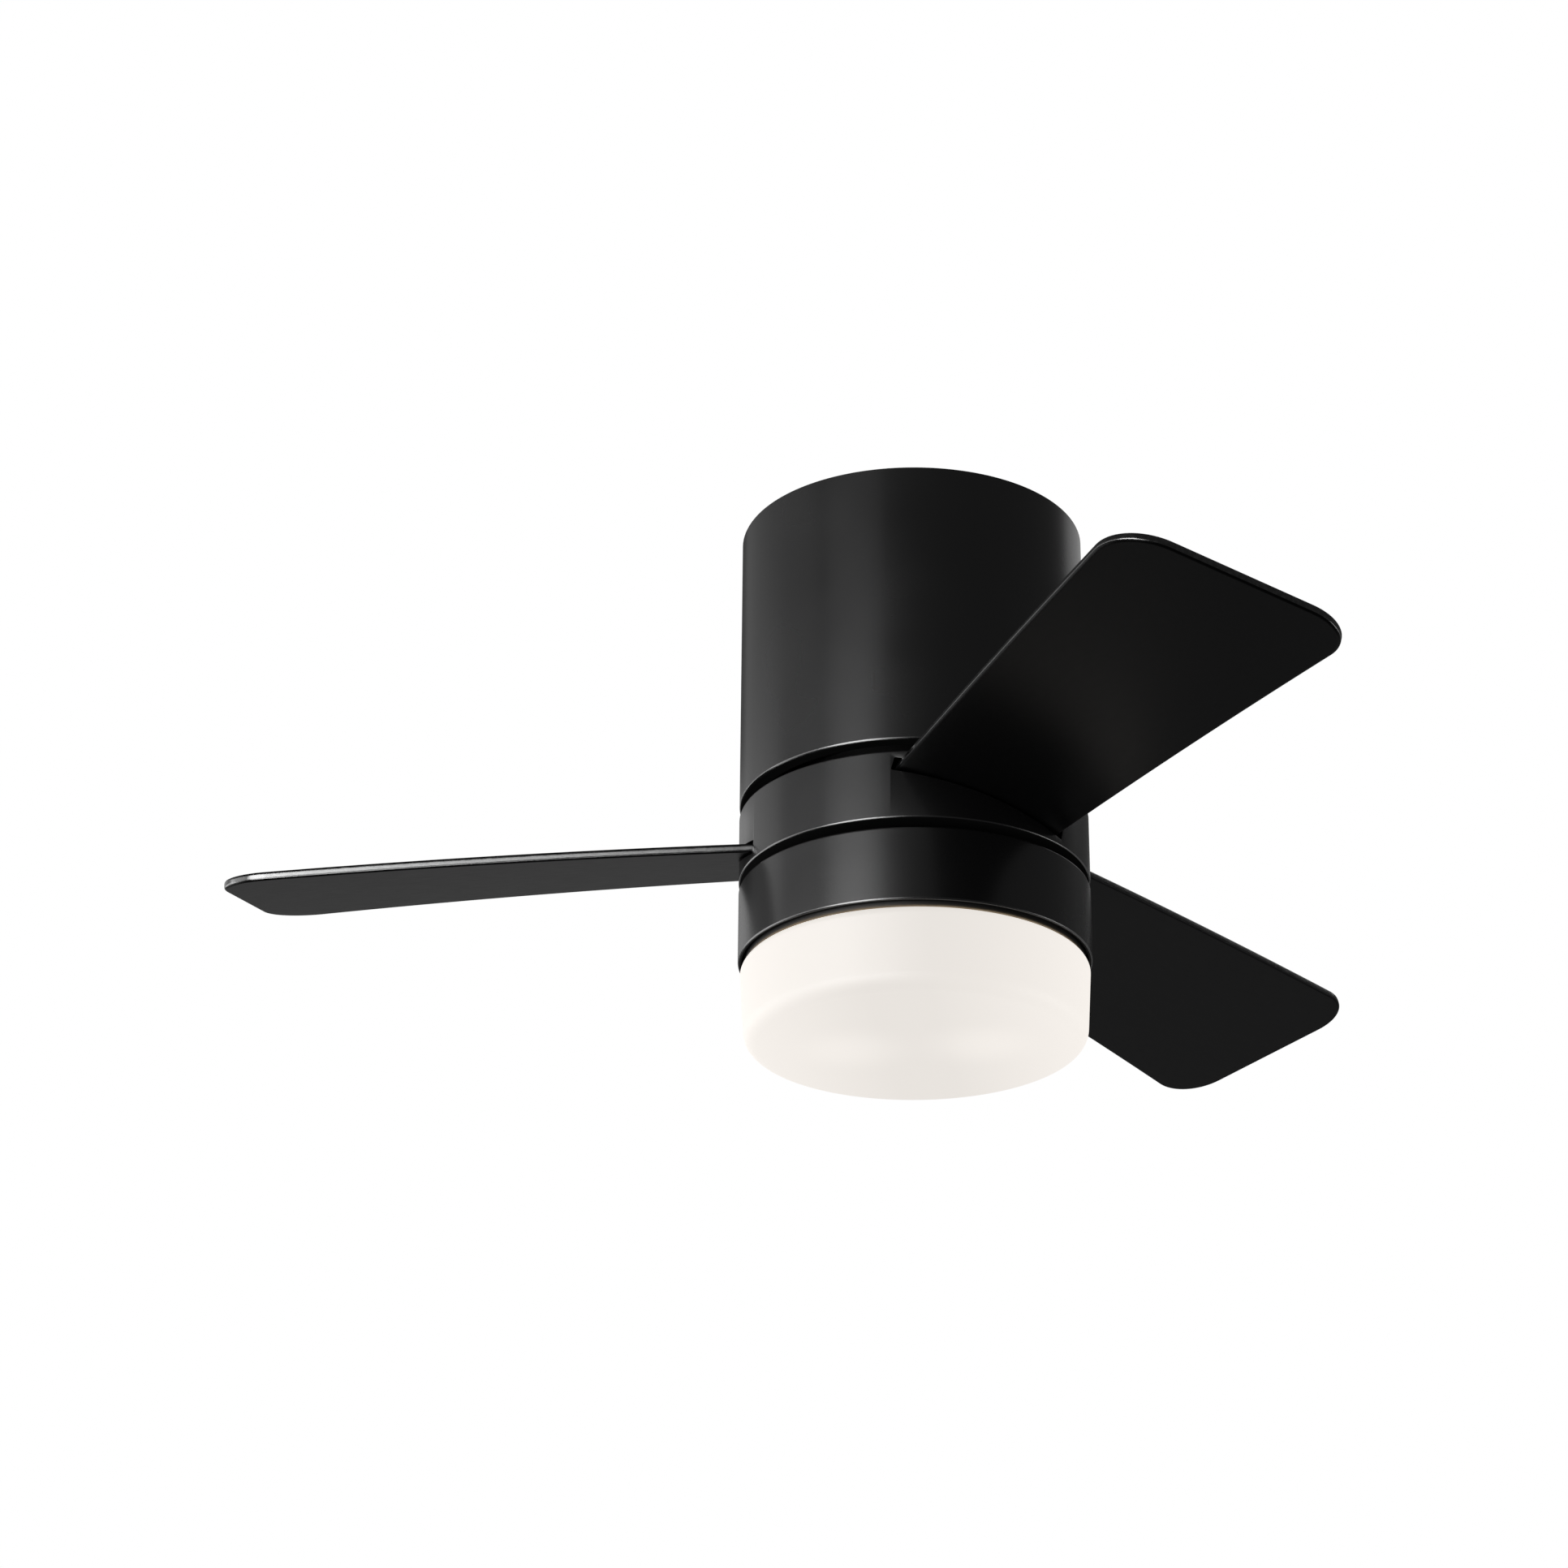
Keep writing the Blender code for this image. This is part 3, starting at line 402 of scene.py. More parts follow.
class Look:
    """A Principled shader that follows the coordinates in which a piece was made."""

    def __init__(self, slot, colour, roughness, metallic=0.0, name=None):
        self.slot = slot
        self.material = bpy.data.materials.new(name or slot)
        self.material.use_nodes = True
        self.tree = self.material.node_tree
        self.shader = self.tree.nodes["Principled BSDF"]
        self.set("Base Color", (*colour, 1))
        self.set("Roughness", roughness)
        self.set("Metallic", metallic)
        self.place = self.add("ShaderNodeAttribute", attribute_name="own").outputs["Vector"]
        self.material.diffuse_color = (*colour, 1)

    def add(self, kind, inputs=(), **settings):
        node = self.tree.nodes.new(kind)
        for key, value in settings.items():
            setattr(node, key, value)
        for key, value in dict(inputs).items():
            if isinstance(value, bpy.types.NodeSocket):
                self.tree.links.new(value, node.inputs[key])
            else:
                node.inputs[key].default_value = value
        return node

    def set(self, socket, value):
        if isinstance(value, bpy.types.NodeSocket):
            self.tree.links.new(value, self.shader.inputs[socket])
        else:
            self.shader.inputs[socket].default_value = value

    def noise(self, scale, detail=3.0, rough=0.5, stretch=None):
        """Noise at this scale per metre, which a stretch draws out into a grain."""
        place = self.place
        if stretch:
            place = self.add("ShaderNodeMapping", {"Vector": place, "Scale": stretch}).outputs["Vector"]
        inputs = {"Vector": place, "Scale": scale, "Detail": detail, "Roughness": rough}
        return self.add("ShaderNodeTexNoise", inputs).outputs["Fac"]

    def range(self, value, low, high, start=0.3, end=0.7, **settings):
        inputs = {"Value": value, "From Min": start, "From Max": end, "To Min": low, "To Max": high}
        return self.add("ShaderNodeMapRange", inputs, **settings).outputs["Result"]

    def tint(self, share, dark, light):
        inputs = {0: share, 6: (*dark, 1), 7: (*light, 1)}
        return self.add("ShaderNodeMix", inputs, data_type="RGBA").outputs[2]

    def sum(self, first, second, operation="ADD"):
        return self.add("ShaderNodeMath", {0: first, 1: second}, operation=operation).outputs[0]

    def relief(self, height, distance, strength=1.0):
        """Adds a bump of this height in metres on top of any earlier one."""
        values = {"Height": height, "Distance": distance, "Strength": strength}
        node = self.add("ShaderNodeBump", values)
        earlier = self.shader.inputs["Normal"].links
        if earlier:
            self.tree.links.new(earlier[0].from_socket, node.inputs["Normal"])
        self.tree.links.new(node.outputs["Normal"], self.shader.inputs["Normal"])


def mottled(slot, colour, roughness, cloud, dark, light, gloss, grain, depth, strength=0.5, **kept):
    """A look whose colour and gloss drift with one noise, under the relief of another."""
    look = Look(slot, colour, roughness, **kept)
    drift = look.noise(*cloud)
    look.set("Base Color", look.tint(drift, dark, light))
    if gloss:
        look.set("Roughness", look.range(drift, *gloss))
    look.relief(look.noise(*grain), depth, strength)
    return look


def powder_coat():
    """Baked powder: a faint orange peel, a finer pebble on it, and a slow drift in gloss."""
    dark = (0.0125, 0.0125, 0.0135)
    light = (0.0165, 0.0165, 0.0175)
    look = mottled("shell_black", dark, 0.26, (9, 2), dark, light, (0.235, 0.29), (420, 2), 0.000035, 0.4)
    look.set("Specular IOR Level", 1.0)
    look.relief(look.noise(1700, 2), 0.000012, 0.4)
    return look


def painted_shade_coat():
    """Painted shade: a flat near-black coat, dull and barely glossy, on the faces inside the shells and
    under their rims, so the gaps between the shells read dark.
    """
    look = mottled(
        "shell_black", (0.004, 0.004, 0.004), 0.85, (90, 3), (0.003, 0.003, 0.003), (0.006, 0.006, 0.006),
        None, (800, 2), 0.00002, 0.4, name="shell_painted_shade",
    )
    look.set("Specular IOR Level", 0.1)
    return look


def opal_glass():
    """White glass whose light from the two lamps inside is painted as emission: brighter on the flanks
    nearest the lamps, with painted pools of light on the floor below them.
    """
    look = mottled(
        "opal_glass", (0.74, 0.72, 0.69), 0.6, (14, 2), (0.72, 0.70, 0.67), (0.76, 0.74, 0.71),
        None, (26, 2), 0.00012, 0.3,
    )
    # Painted light: the emission rises towards the flanks and in two pools under the lamps.
    across = look.add("ShaderNodeSeparateXYZ", {"Vector": look.place}).outputs["X"]
    flank = look.range(look.sum(across, 0.0, "ABSOLUTE"), 0.0, 0.12, 0.02, 0.12)
    glow = look.sum(flank, 0.74)
    for side in (-1, 1):
        away = look.add(
            "ShaderNodeVectorMath",
            {0: look.place, 1: (side * LAMP_OFFSET, 0, SHADE_BOTTOM)}, operation="DISTANCE",
        ).outputs["Value"]
        pool = look.range(away, 0.05, 0.0, 0.0, 0.055, interpolation_type="SMOOTHERSTEP")
        glow = look.sum(glow, pool)
    look.set("Emission Color", look.tint(flank, (1.0, 0.952, 0.90), (1.0, 0.93, 0.875)))
    look.set("Emission Strength", glow)
    return look


def blade_face():
    """Black foil with a long fibre. It mirrors less than the shells do."""
    look = Look("blade_black", (0.014, 0.014, 0.015), 0.45, name="blade_face")
    fibre = look.noise(60, 4, 0.6, (1, 14, 14))
    drift = look.noise(7, 2)
    look.set("Base Color", look.tint(drift, (0.0125, 0.0125, 0.0135), (0.0165, 0.0165, 0.0175)))
    look.set("Roughness", look.range(fibre, 0.28, 0.33))
    look.set("IOR", 1.12)
    look.relief(fibre, 0.00003, 0.4)
    look.relief(look.noise(1500, 2), 0.00001, 0.4)
    return look


def blade_edge():
    """Gloss paint over the cut edge of the board, which shows through as grey specks."""
    look = Look("blade_black", (0.03, 0.03, 0.031), 0.3, name="blade_edge")
    speck = look.noise(330, 3, 0.6, (0.45, 1, 1))
    bare = look.range(speck, 0, 1, 0.42, 0.62)
    look.set("Base Color", look.tint(bare, (0.030, 0.030, 0.031), (0.080, 0.080, 0.082)))
    look.set("Roughness", look.range(speck, 0.17, 0.26))
    look.set("Specular IOR Level", 1.0)
    look.relief(speck, 0.0001, 0.3)
    return look


def collar_brown():
    """Brown lacquer with painted light towards the lower edge, where the glass below lights it, and painted
    shade above it, under the band.
    """
    look = Look("collar_brown", (0.12, 0.098, 0.072), 0.6)
    cloud = look.noise(60, 3)
    rise = look.add("ShaderNodeSeparateXYZ", {"Vector": look.place}).outputs["Z"]
    # Painted light and shade by height: near black just under the band, tan at the lower edge, broken by a
    # random tone.
    painted_light_by_height = look.range(rise, 1.0, 0.0, COLLAR_BOTTOM + 0.0003, COLLAR_BOTTOM + 0.0018)
    painted_light_and_tone = look.sum(painted_light_by_height, look.range(cloud, 0.75, 1.0), "MULTIPLY")
    look.set("Base Color", look.tint(painted_light_and_tone, (0.012, 0.010, 0.008), (0.22, 0.17, 0.105)))
    look.set("Specular IOR Level", 0.3)
    look.relief(look.noise(900, 2), 0.00002, 0.5)
    return look


def motor_enamel():
    look = mottled(
        "motor_enamel", (0.016, 0.016, 0.017), 0.5, (22, 3), (0.007, 0.007, 0.008), (0.011, 0.011, 0.012),
        None, (480, 4, 0.65), 0.00008, 0.6,
    )
    look.set("Specular IOR Level", 0.25)
    look.set("Roughness", look.range(look.noise(480, 4, 0.65), 0.44, 0.6))
    return look


def laminations():
    """Stacked steel sheets, seen as fine lines round the iron."""
    look = Look("laminated_steel", (0.22, 0.22, 0.23), 0.5, 1.0)
    sheets_per_metre = 1000
    sheets = look.add(
        "ShaderNodeTexWave", {"Vector": look.place, "Scale": sheets_per_metre * pi / 10},
        bands_direction="Z",
    ).outputs["Fac"]
    look.set("Base Color", look.tint(look.noise(40, 3), (0.17, 0.17, 0.18), (0.27, 0.27, 0.27)))
    look.relief(sheets, 0.00006, 0.7)
    return look


def copper_wire():
    """Varnished wire, wound round the axis."""
    look = Look("copper_winding", (0.50, 0.18, 0.06), 0.35, 1.0)
    bloom = look.noise(70, 3)
    look.set("Base Color", look.tint(bloom, (0.42, 0.14, 0.045), (0.56, 0.21, 0.08)))
    look.set("Roughness", look.range(bloom, 0.28, 0.42))
    look.set("Coat Weight", 0.5)
    strands_per_metre = 1600
    scale = strands_per_metre * pi / 10
    strand = look.add(
        "ShaderNodeTexWave",
        {"Vector": look.place, "Scale": scale, "Distortion": 0.4, "Detail Scale": 0.3},
        wave_type="RINGS", rings_direction="Z",
    ).outputs["Fac"]
    look.relief(strand, 0.00018, 0.8)
    return look


def lamp_frost():
    look = mottled(
        "lamp_diffuser", (0.95, 0.92, 0.85), 0.4, (60, 2), (0.92, 0.89, 0.82), (0.96, 0.93, 0.87),
        None, (700, 2), 0.00001,
    )
    look.set("Emission Color", (1.0, 0.88, 0.7, 1))
    look.set("Emission Strength", 1.5)
    return look


def make_looks():
    lengthwise = (90, 3, 0.6, (1, 1, 30))
    round_the_race = (120, 3, 0.6, (1, 1, 22))
    looks = {
        "shell": powder_coat(),
        "painted_shade_coat": painted_shade_coat(),
        "board": blade_face(),
        "edge": blade_edge(),
        "glass": opal_glass(),
        "collar": collar_brown(),
        "enamel": motor_enamel(),
        "stack": laminations(),
        "copper": copper_wire(),
        "frost": lamp_frost(),
        "zinc": mottled(
            "zinc_steel", (0.52, 0.53, 0.55), 0.35, (55, 4, 0.6), (0.44, 0.45, 0.47), (0.60, 0.61, 0.62),
            (0.28, 0.44), (260, 3, 0.6, (1, 9, 1)), 0.00002, metallic=1.0,
        ),
        "shaft": mottled(
            "shaft_steel", (0.36, 0.37, 0.39), 0.28, lengthwise, (0.30, 0.31, 0.33), (0.42, 0.43, 0.45),
            (0.22, 0.36), lengthwise, 0.00001, 0.6, metallic=1.0,
        ),
        "race": mottled(
            "bearing_steel", (0.62, 0.63, 0.65), 0.16, round_the_race, (0.56, 0.57, 0.59),
            (0.66, 0.67, 0.69), (0.12, 0.22), round_the_race, 0.000005, metallic=1.0,
        ),
        "brass": mottled(
            "cap_brass", (0.72, 0.60, 0.38), 0.32, (160, 3), (0.64, 0.52, 0.32), (0.78, 0.66, 0.43),
            (0.26, 0.42), (700, 2), 0.00001, metallic=1.0,
        ),
        "oxide": mottled(
            "black_screw", (0.03, 0.03, 0.032), 0.4, (300, 3), (0.022, 0.022, 0.024),
            (0.045, 0.045, 0.047), (0.33, 0.47), (900, 2), 0.00001, metallic=0.8,
        ),
        "china": mottled(
            "porcelain", (0.78, 0.76, 0.71), 0.3, (80, 3), (0.74, 0.72, 0.67), (0.81, 0.79, 0.74),
            (0.22, 0.34), (200, 2), 0.00003, 0.4,
        ),
    }
    for key, slot, dark, light, rough in (
        ("lamp", "lamp_plastic", (0.82, 0.82, 0.81), (0.87, 0.87, 0.86), 0.45),
        ("grey", "grey_plastic", (0.145, 0.145, 0.155), (0.175, 0.175, 0.185), 0.5),
        ("black", "black_plastic", (0.018, 0.018, 0.018), (0.026, 0.026, 0.026), 0.45),
        ("sleeve", "wire_sleeve", (0.70, 0.70, 0.67), (0.78, 0.78, 0.75), 0.6),
    ):
        gloss = (rough - 0.05, rough + 0.06)
        looks[key] = mottled(slot, light, rough, (110, 3), dark, light, gloss, (1100, 2), 0.000015)
    return looks


LOOKS = make_looks()


# Shells

def radial_hole(angle, radius, size=0.0024):
    return moved(rod(size, 0.010), turn(angle) @ at(radius, 0, HOUSING_SCREW_HEIGHT) @ turn(90, "Y"))


def finish_shell(shell, body, node, sharp=35):
    """Powder outside, and the painted shade coat on every face more than a millimetre inside the outer
    wall: the insides, the lips and the undersides of the rims.
    """
    for polygon in shell.data.polygons:
        x, y, _ = polygon.center
        polygon.material_index = int(hypot(x, y) < PAINTED_SHADE_INSIDE)
    finish(shell, ("shell", "painted_shade_coat"), body, node, sharp=sharp)


def make_housing():
    shell = lathe("drum_housing", [
        (BODY_RADIUS, 0, 0.0003),
        (BODY_RADIUS, HOUSING_BOTTOM, 0.0016),
        (HOUSING_LIP, HOUSING_BOTTOM, 0.0003),
        (HOUSING_LIP, HOUSING_BOTTOM + SHELL_WALL, 0.0003),
        (SHELL_INSIDE, HOUSING_BOTTOM + SHELL_WALL, 0.0008),
        (SHELL_INSIDE, 0, 0.0003),
    ])
    carve(shell, [radial_hole(angle, BODY_RADIUS) for angle in HOUSING_SCREW_ANGLES])
    finish_shell(shell, "root", "upper_housing")


def pitched(angle):
    return turn(angle) @ at(0, 0, BLADE_AXIS) @ turn(BLADE_PITCH, "X")


def rounded_slot(half_long, half_tall, corner):
    """A rounded rectangle in Y and Z, pushed along X."""
    outline = []
    for index, (y, z) in enumerate(((1, 1), (-1, 1), (-1, -1), (1, -1))):
        for step in range(4):
            out_y, out_z = polar(corner, 90 * index + 30 * step)
            outline.append((y * (half_long - corner) + out_y, z * (half_tall - corner) + out_z))
    upright = Matrix(((0, 0, 1, 0), (1, 0, 0, 0), (0, 1, 0, 0), (0, 0, 0, 1)))
    return moved(prism("slot", outline, 0.096, 0.135), upright)


def pair_places(frame_of, u, v, height):
    """A place on each side of each blade's line, in the frame that goes with the blade's angle."""
    return [frame_of(angle) @ at(u, side * v, height) for angle in BLADE_ANGLES for side in (-1, 1)]


def iron_screw_holes(middle, depth):
    places = pair_places(turn, IRON_SCREW_U, IRON_SCREW_V, middle)
    return [moved(rod(SCREW_HOLE, depth), place) for place in places]


def make_hub_ring():
    ring = lathe("blade_ring", [
        (HUB_FLANGE_INSIDE, HUB_TOP, 0.0004),
        (BODY_RADIUS, HUB_TOP, 0.0011),
        (BODY_RADIUS, HUB_BOTTOM, 0.0012),
        (HUB_LIP, HUB_BOTTOM, 0.0003),
        (HUB_LIP, HUB_BOTTOM + SHELL_WALL, 0.0003),
        (SHELL_INSIDE, HUB_BOTTOM + SHELL_WALL, 0.0005),
        (SHELL_INSIDE, HUB_TOP - HUB_FLANGE, 0.0008),
        (HUB_FLANGE_INSIDE, HUB_TOP - HUB_FLANGE, 0.0004),
    ])
    half_long = BLADE_WIDTH_AT_HUB / 2 + SLOT_END_CLEARANCE
    half_tall = BLADE_THICKNESS / 2 + SLOT_FACE_CLEARANCE
    cutters = iron_screw_holes(HUB_TOP - HUB_FLANGE / 2, 0.006)
    for angle in BLADE_ANGLES:
        cutters.append(moved(rounded_slot(half_long, half_tall, 0.0012), pitched(angle)))
    carve(ring, cutters)
    soften(ring, 0.00025, 2, 40)
    finish_shell(ring, "rotor", "hub_ring", 40)


def make_light_band():
    bore = SHAFT_RADIUS + GAP
    hem_inside = BODY_RADIUS - BAND_HEM
    band = lathe("light_band", [
        (bore, FITTER_TOP, 0.0003),
        (BODY_RADIUS, FITTER_TOP, 0.0013),
        (BODY_RADIUS, FITTER_BOTTOM, 0.0013),
        (hem_inside, FITTER_BOTTOM, 0.0007),
        (hem_inside, FITTER_BOTTOM + BAND_HEM, 0.0004),
        (SHELL_INSIDE, FITTER_BOTTOM + 1.6 * BAND_HEM, 0.0006),
        (SHELL_INSIDE, FITTER_TOP - SHELL_WALL, 0.0008),
        (bore, FITTER_TOP - SHELL_WALL, 0.0003),
    ])
    tab_top = COLLAR_TOP - 0.0053
    tabs = [bayonet_block(angle, *BAND_TAB_REACH, tab_top - 0.002, tab_top) for angle in LUG_ANGLES]
    carve(band, tabs, "UNION")
    wide = SWITCH_WINDOW_WIDE / 2
    tall = SWITCH_WINDOW_TALL / 2
    carve(band, [block((-wide, 0.112, SWITCH_HEIGHT - tall), (wide, 0.130, SWITCH_HEIGHT + tall))])
    soften(band, 0.0002, 2, 40)
    finish_shell(band, "root", "light_fitter", 40)


def long_hole(y, half_length, half_width):
    """A round-ended hole along X."""
    outline = []
    for end in (-1, 1):
        for step in range(9):
            out_x, out_y = polar(half_width, -90 + 180 * step / 8)
            outline.append((end * (half_length - half_width + out_x), y + end * out_y))
    return prism("slot", outline, -0.01, 0.01)


def make_ceiling_plate():
    inside = PLATE_RADIUS - PLATE_THICKNESS
    plate = lathe("ceiling_plate_pressing", [
        (WIRE_HOLE_RADIUS, 0, 0.0004),
        (PLATE_RADIUS, 0, 0.0016),
        (PLATE_RADIUS, -PLATE_RIM, 0.0004),
        (inside, -PLATE_RIM, 0.0004),
        (inside, -PLATE_THICKNESS, 0.0008),
        (WIRE_HOLE_RADIUS, -PLATE_THICKNESS, 0.0004),
    ], 4, 128)
    holes = [moved(rod(SCREW_HOLE, 0.01), at(side * YOKE_SCREW_X, 0, 0)) for side in (-1, 1)]
    holes += [long_hole(side * BOX_SCREW_RADIUS, 0.010, 0.0028) for side in (-1, 1)]
    holes += [radial_hole(angle, PLATE_RADIUS) for angle in HOUSING_SCREW_ANGLES]
    carve(plate, holes)
    soften(plate, 0.0002, 2, 40)
    finish(plate, "zinc", "root", "ceiling_plate", sharp=40)


# Blades

def half_width(u):
    """Half the blade's width at a distance u from the axis: a straight flare, then a rounded corner."""
    share = (u - BODY_RADIUS) / (BLADE_TIP - BODY_RADIUS)
    flare = (BLADE_WIDTH_AT_HUB + (BLADE_WIDTH_AT_TIP - BLADE_WIDTH_AT_HUB) * share) / 2
    into_corner = max(0, u - (BLADE_TIP - BLADE_CORNER))
    return flare - BLADE_CORNER + sqrt(max(0, BLADE_CORNER ** 2 - into_corner ** 2))


def droop(u):
    share = max(0, u - DROOP_START) / (BLADE_TIP - DROOP_START)
    return -BLADE_DROOP * share ** 2


def blade_edge_line():
    """Points (u, v) along one long edge, round the corner and on to the tip, each with its way out."""
    straight_end = BLADE_TIP - BLADE_CORNER
    stations = [BLADE_ROOT + (straight_end - BLADE_ROOT) * step / 40 for step in range(40)]
    stations += [straight_end + BLADE_CORNER * sin(radians(90 * step / 18)) for step in range(19)]
    points = [Vector((u, half_width(u))) for u in stations]
    line = []
    for index, point in enumerate(points):
        before = points[max(index - 1, 0)]
        after = points[min(index + 1, len(points) - 1)]
        along = (after - before).normalized()
        outward = Vector((-along.y, along.x))
        if index == 0:
            outward = Vector((-1, 1))
        if index == len(points) - 1:
            outward = Vector((1, 0))
        line.append((point, outward))
    return line


def blade_mesh(name):
    """A board built from rings round its outline, so that each arris is a true quarter round.

    The edge paint covers the middle of the edge, and the face's foil wraps round most of each arris.
    """
    line = blade_edge_line()
    count = len(line)
    half = BLADE_THICKNESS / 2
    middle = half - BLADE_ARRIS
    rings = [(BLADE_ARRIS + 0.0006, -half)]
    for step in range(7):
        down, out = polar(BLADE_ARRIS, 90 * step / 6)
        rings.append((BLADE_ARRIS - out, -middle - down))
    rings.append((0, -middle + 0.0003))
    rings += [(inset, -height) for inset, height in reversed(rings)]
    points = []
    for inset, height in rings:
        for side in (1, -1):
            for point, outward in (line if side == 1 else line[::-1]):
                place = point - outward * inset
                points.append((place.x, side * place.y, droop(place.x) + height))
    size = 2 * count
    faces = skin(len(rings), size)
    side_faces = len(faces)
    bare_rings = len(rings) // 2 - 4
    flats = bare_rings * size
    for first in (0, (len(rings) - 1) * size):
        for index in range(count - 1):
            mirror = size - 1 - index
            faces.append([first + index, first + index + 1, first + mirror - 1, first + mirror])
    mesh = mesh_of(name, points, faces)
    painted = [int(flats <= index < side_faces - flats) for index in range(len(faces))]
    mesh.polygons.foreach_set("material_index", painted)
    return mesh


def make_blades():
    for number, angle in enumerate(BLADE_ANGLES, 1):
        name = f"blade_board_{number}"
        board = new_object(name, blade_mesh(name), pitched(angle))
        finish(board, ("board", "edge"), "rotor", f"blade_{number}", sharp=50)


# Light

def bayonet_block(angle, near, far, bottom, top):
    return moved(block((near, -LUG_HALF_WIDTH, bottom), (far, LUG_HALF_WIDTH, top)), turn(angle))


def make_shade():
    taper = 0.057
    foot = 0.11765
    brow = foot + taper * (SHADE_SHOULDER - SHADE_BOTTOM)
    inner_neck = NECK_RADIUS - SHADE_WALL
    shade = lathe("opal_shade", [
        (0, SHADE_BOTTOM, 0),
        (foot, SHADE_BOTTOM, 0.011),
        (brow, SHADE_SHOULDER, 0.0055),
        (NECK_RADIUS, SHADE_SHOULDER, 0.0002),
        (NECK_RADIUS, NECK_TOP, 0.0006),
        (inner_neck, NECK_TOP, 0.0006),
        (inner_neck, SHADE_SHOULDER - SHADE_WALL, 0.0012),
        (brow - SHADE_WALL, SHADE_SHOULDER - SHADE_WALL, 0.0030),
        (foot - SHADE_WALL, SHADE_BOTTOM + SHADE_WALL, 0.008),
        (0, SHADE_BOTTOM + SHADE_WALL, 0),
    ], 12)
    finish(shade, "glass", "shade", "glass_shade", sharp=50)
    inside = COLLAR_RADIUS - COLLAR_WALL
    collar = lathe("shade_collar_ring", [
        (COLLAR_LIP, COLLAR_TOP, 0.0005),
        (COLLAR_RADIUS, COLLAR_TOP, 0.0008),
        (COLLAR_RADIUS, COLLAR_BOTTOM, 0.0006),
        (inside, COLLAR_BOTTOM, 0.0003),
        (inside, COLLAR_TOP - COLLAR_LIP_THICKNESS, 0.0003),
        (COLLAR_LIP, COLLAR_TOP - COLLAR_LIP_THICKNESS, 0.0005),
    ], 4)
    lug_top = COLLAR_TOP - 0.002
    lugs = [bayonet_block(angle, *COLLAR_LUG_REACH, lug_top - 0.003, lug_top) for angle in LUG_ANGLES]
    carve(collar, lugs, "UNION")
    soften(collar, 0.0003, 2, 40)
    finish(collar, "collar", "shade", "shade_collar", sharp=40)


# Screws and nuts

def threads(radius, top, bottom, pitch, outward=True):
    """Points down a threaded wall, from crest to root and back, with the crest at this radius."""
    root = radius - THREAD_DEPTH if outward else radius + THREAD_DEPTH
    count = max(1, round((top - bottom) / pitch))
    step = (top - bottom) / count
    points = []
    for index in range(count):
        z = top - index * step
        points += [(root, z), (radius, z - 0.4 * step), (radius, z - 0.6 * step)]
    return points + [(root, bottom)]


def screw_mesh(head_radius, head_height, shank_radius, shank_length):
    """A pan-head screw, head up from its seat at Z=0, with a threaded shank and a cross recess."""
    brim = 0.35 * head_height
    outline = [(0, head_height)]
    for step in range(1, 10):
        rise, out = polar(1, 10 * step)
        outline.append((head_radius * out, brim + (head_height - brim) * rise))
    outline += [(head_radius, 0.0003), (head_radius - 0.0003, 0), (shank_radius, 0)]
    outline += threads(shank_radius, -0.0008, -shank_length + 0.001, 0.0008)
    outline += [(0.6 * shank_radius, -shank_length), (0, -shank_length)]
    screw = turned("screw", outline, 40)
    long = 0.52 * head_radius
    wide = 0.13 * head_radius
    floor = 0.35 * head_height
    carve(screw, [
        block((-long, -wide, floor), (long, wide, 2 * head_height)),
        block((-wide, -long, floor), (wide, long, 2 * head_height)),
    ])
    mesh = screw.data
    bpy.data.objects.remove(screw)
    return mesh


def put_screw(name, node, mesh, look, body, place):
    finish(new_object(name, mesh.copy(), place), look, body, node)


def make_screws():
    rim = screw_mesh(0.004, 0.0024, 0.002, 0.008)
    strip = screw_mesh(0.005, 0.0035, 0.0021, 0.0052)
    carrier = screw_mesh(0.0045, 0.003, 0.0021, 0.028)
    board = screw_mesh(0.0045, 0.0024, 0.0018, 0.0098)
    down = turn(180, "X")
    for number, angle in enumerate(HOUSING_SCREW_ANGLES, 1):
        place = turn(angle) @ at(BODY_RADIUS + GAP, 0, HOUSING_SCREW_HEIGHT) @ turn(90, "Y")
        put_screw(f"rim_screw_{number}", f"housing_screw_{number}", rim, "oxide", "root", place)
    for number, side in enumerate((-1, 1), 1):
        place = at(side * YOKE_SCREW_X, 0, -PLATE_THICKNESS - YOKE_STRIP - 2 * GAP) @ down
        put_screw(f"strip_screw_{number}", f"yoke_screw_{number}", strip, "zinc", "root", place)
    under_foot = HUB_TOP - HUB_FLANGE - IRON_FOOT_HEIGHT - 2 * GAP
    on_irons = pair_places(turn, IRON_SCREW_U, IRON_SCREW_V, under_foot)
    on_blades = pair_places(pitched, BLADE_SCREW_U, BLADE_SCREW_V, -BLADE_THICKNESS / 2 - GAP)
    for number, (iron, blade) in enumerate(zip(on_irons, on_blades), 1):
        put_screw(f"carrier_screw_{number}", f"iron_screw_{number}", carrier, "zinc", "rotor", iron @ down)
        put_screw(f"board_screw_{number}", f"blade_screw_{number}", board, "oxide", "rotor", blade @ down)
    for mesh in (rim, strip, carrier, board):
        bpy.data.meshes.remove(mesh)


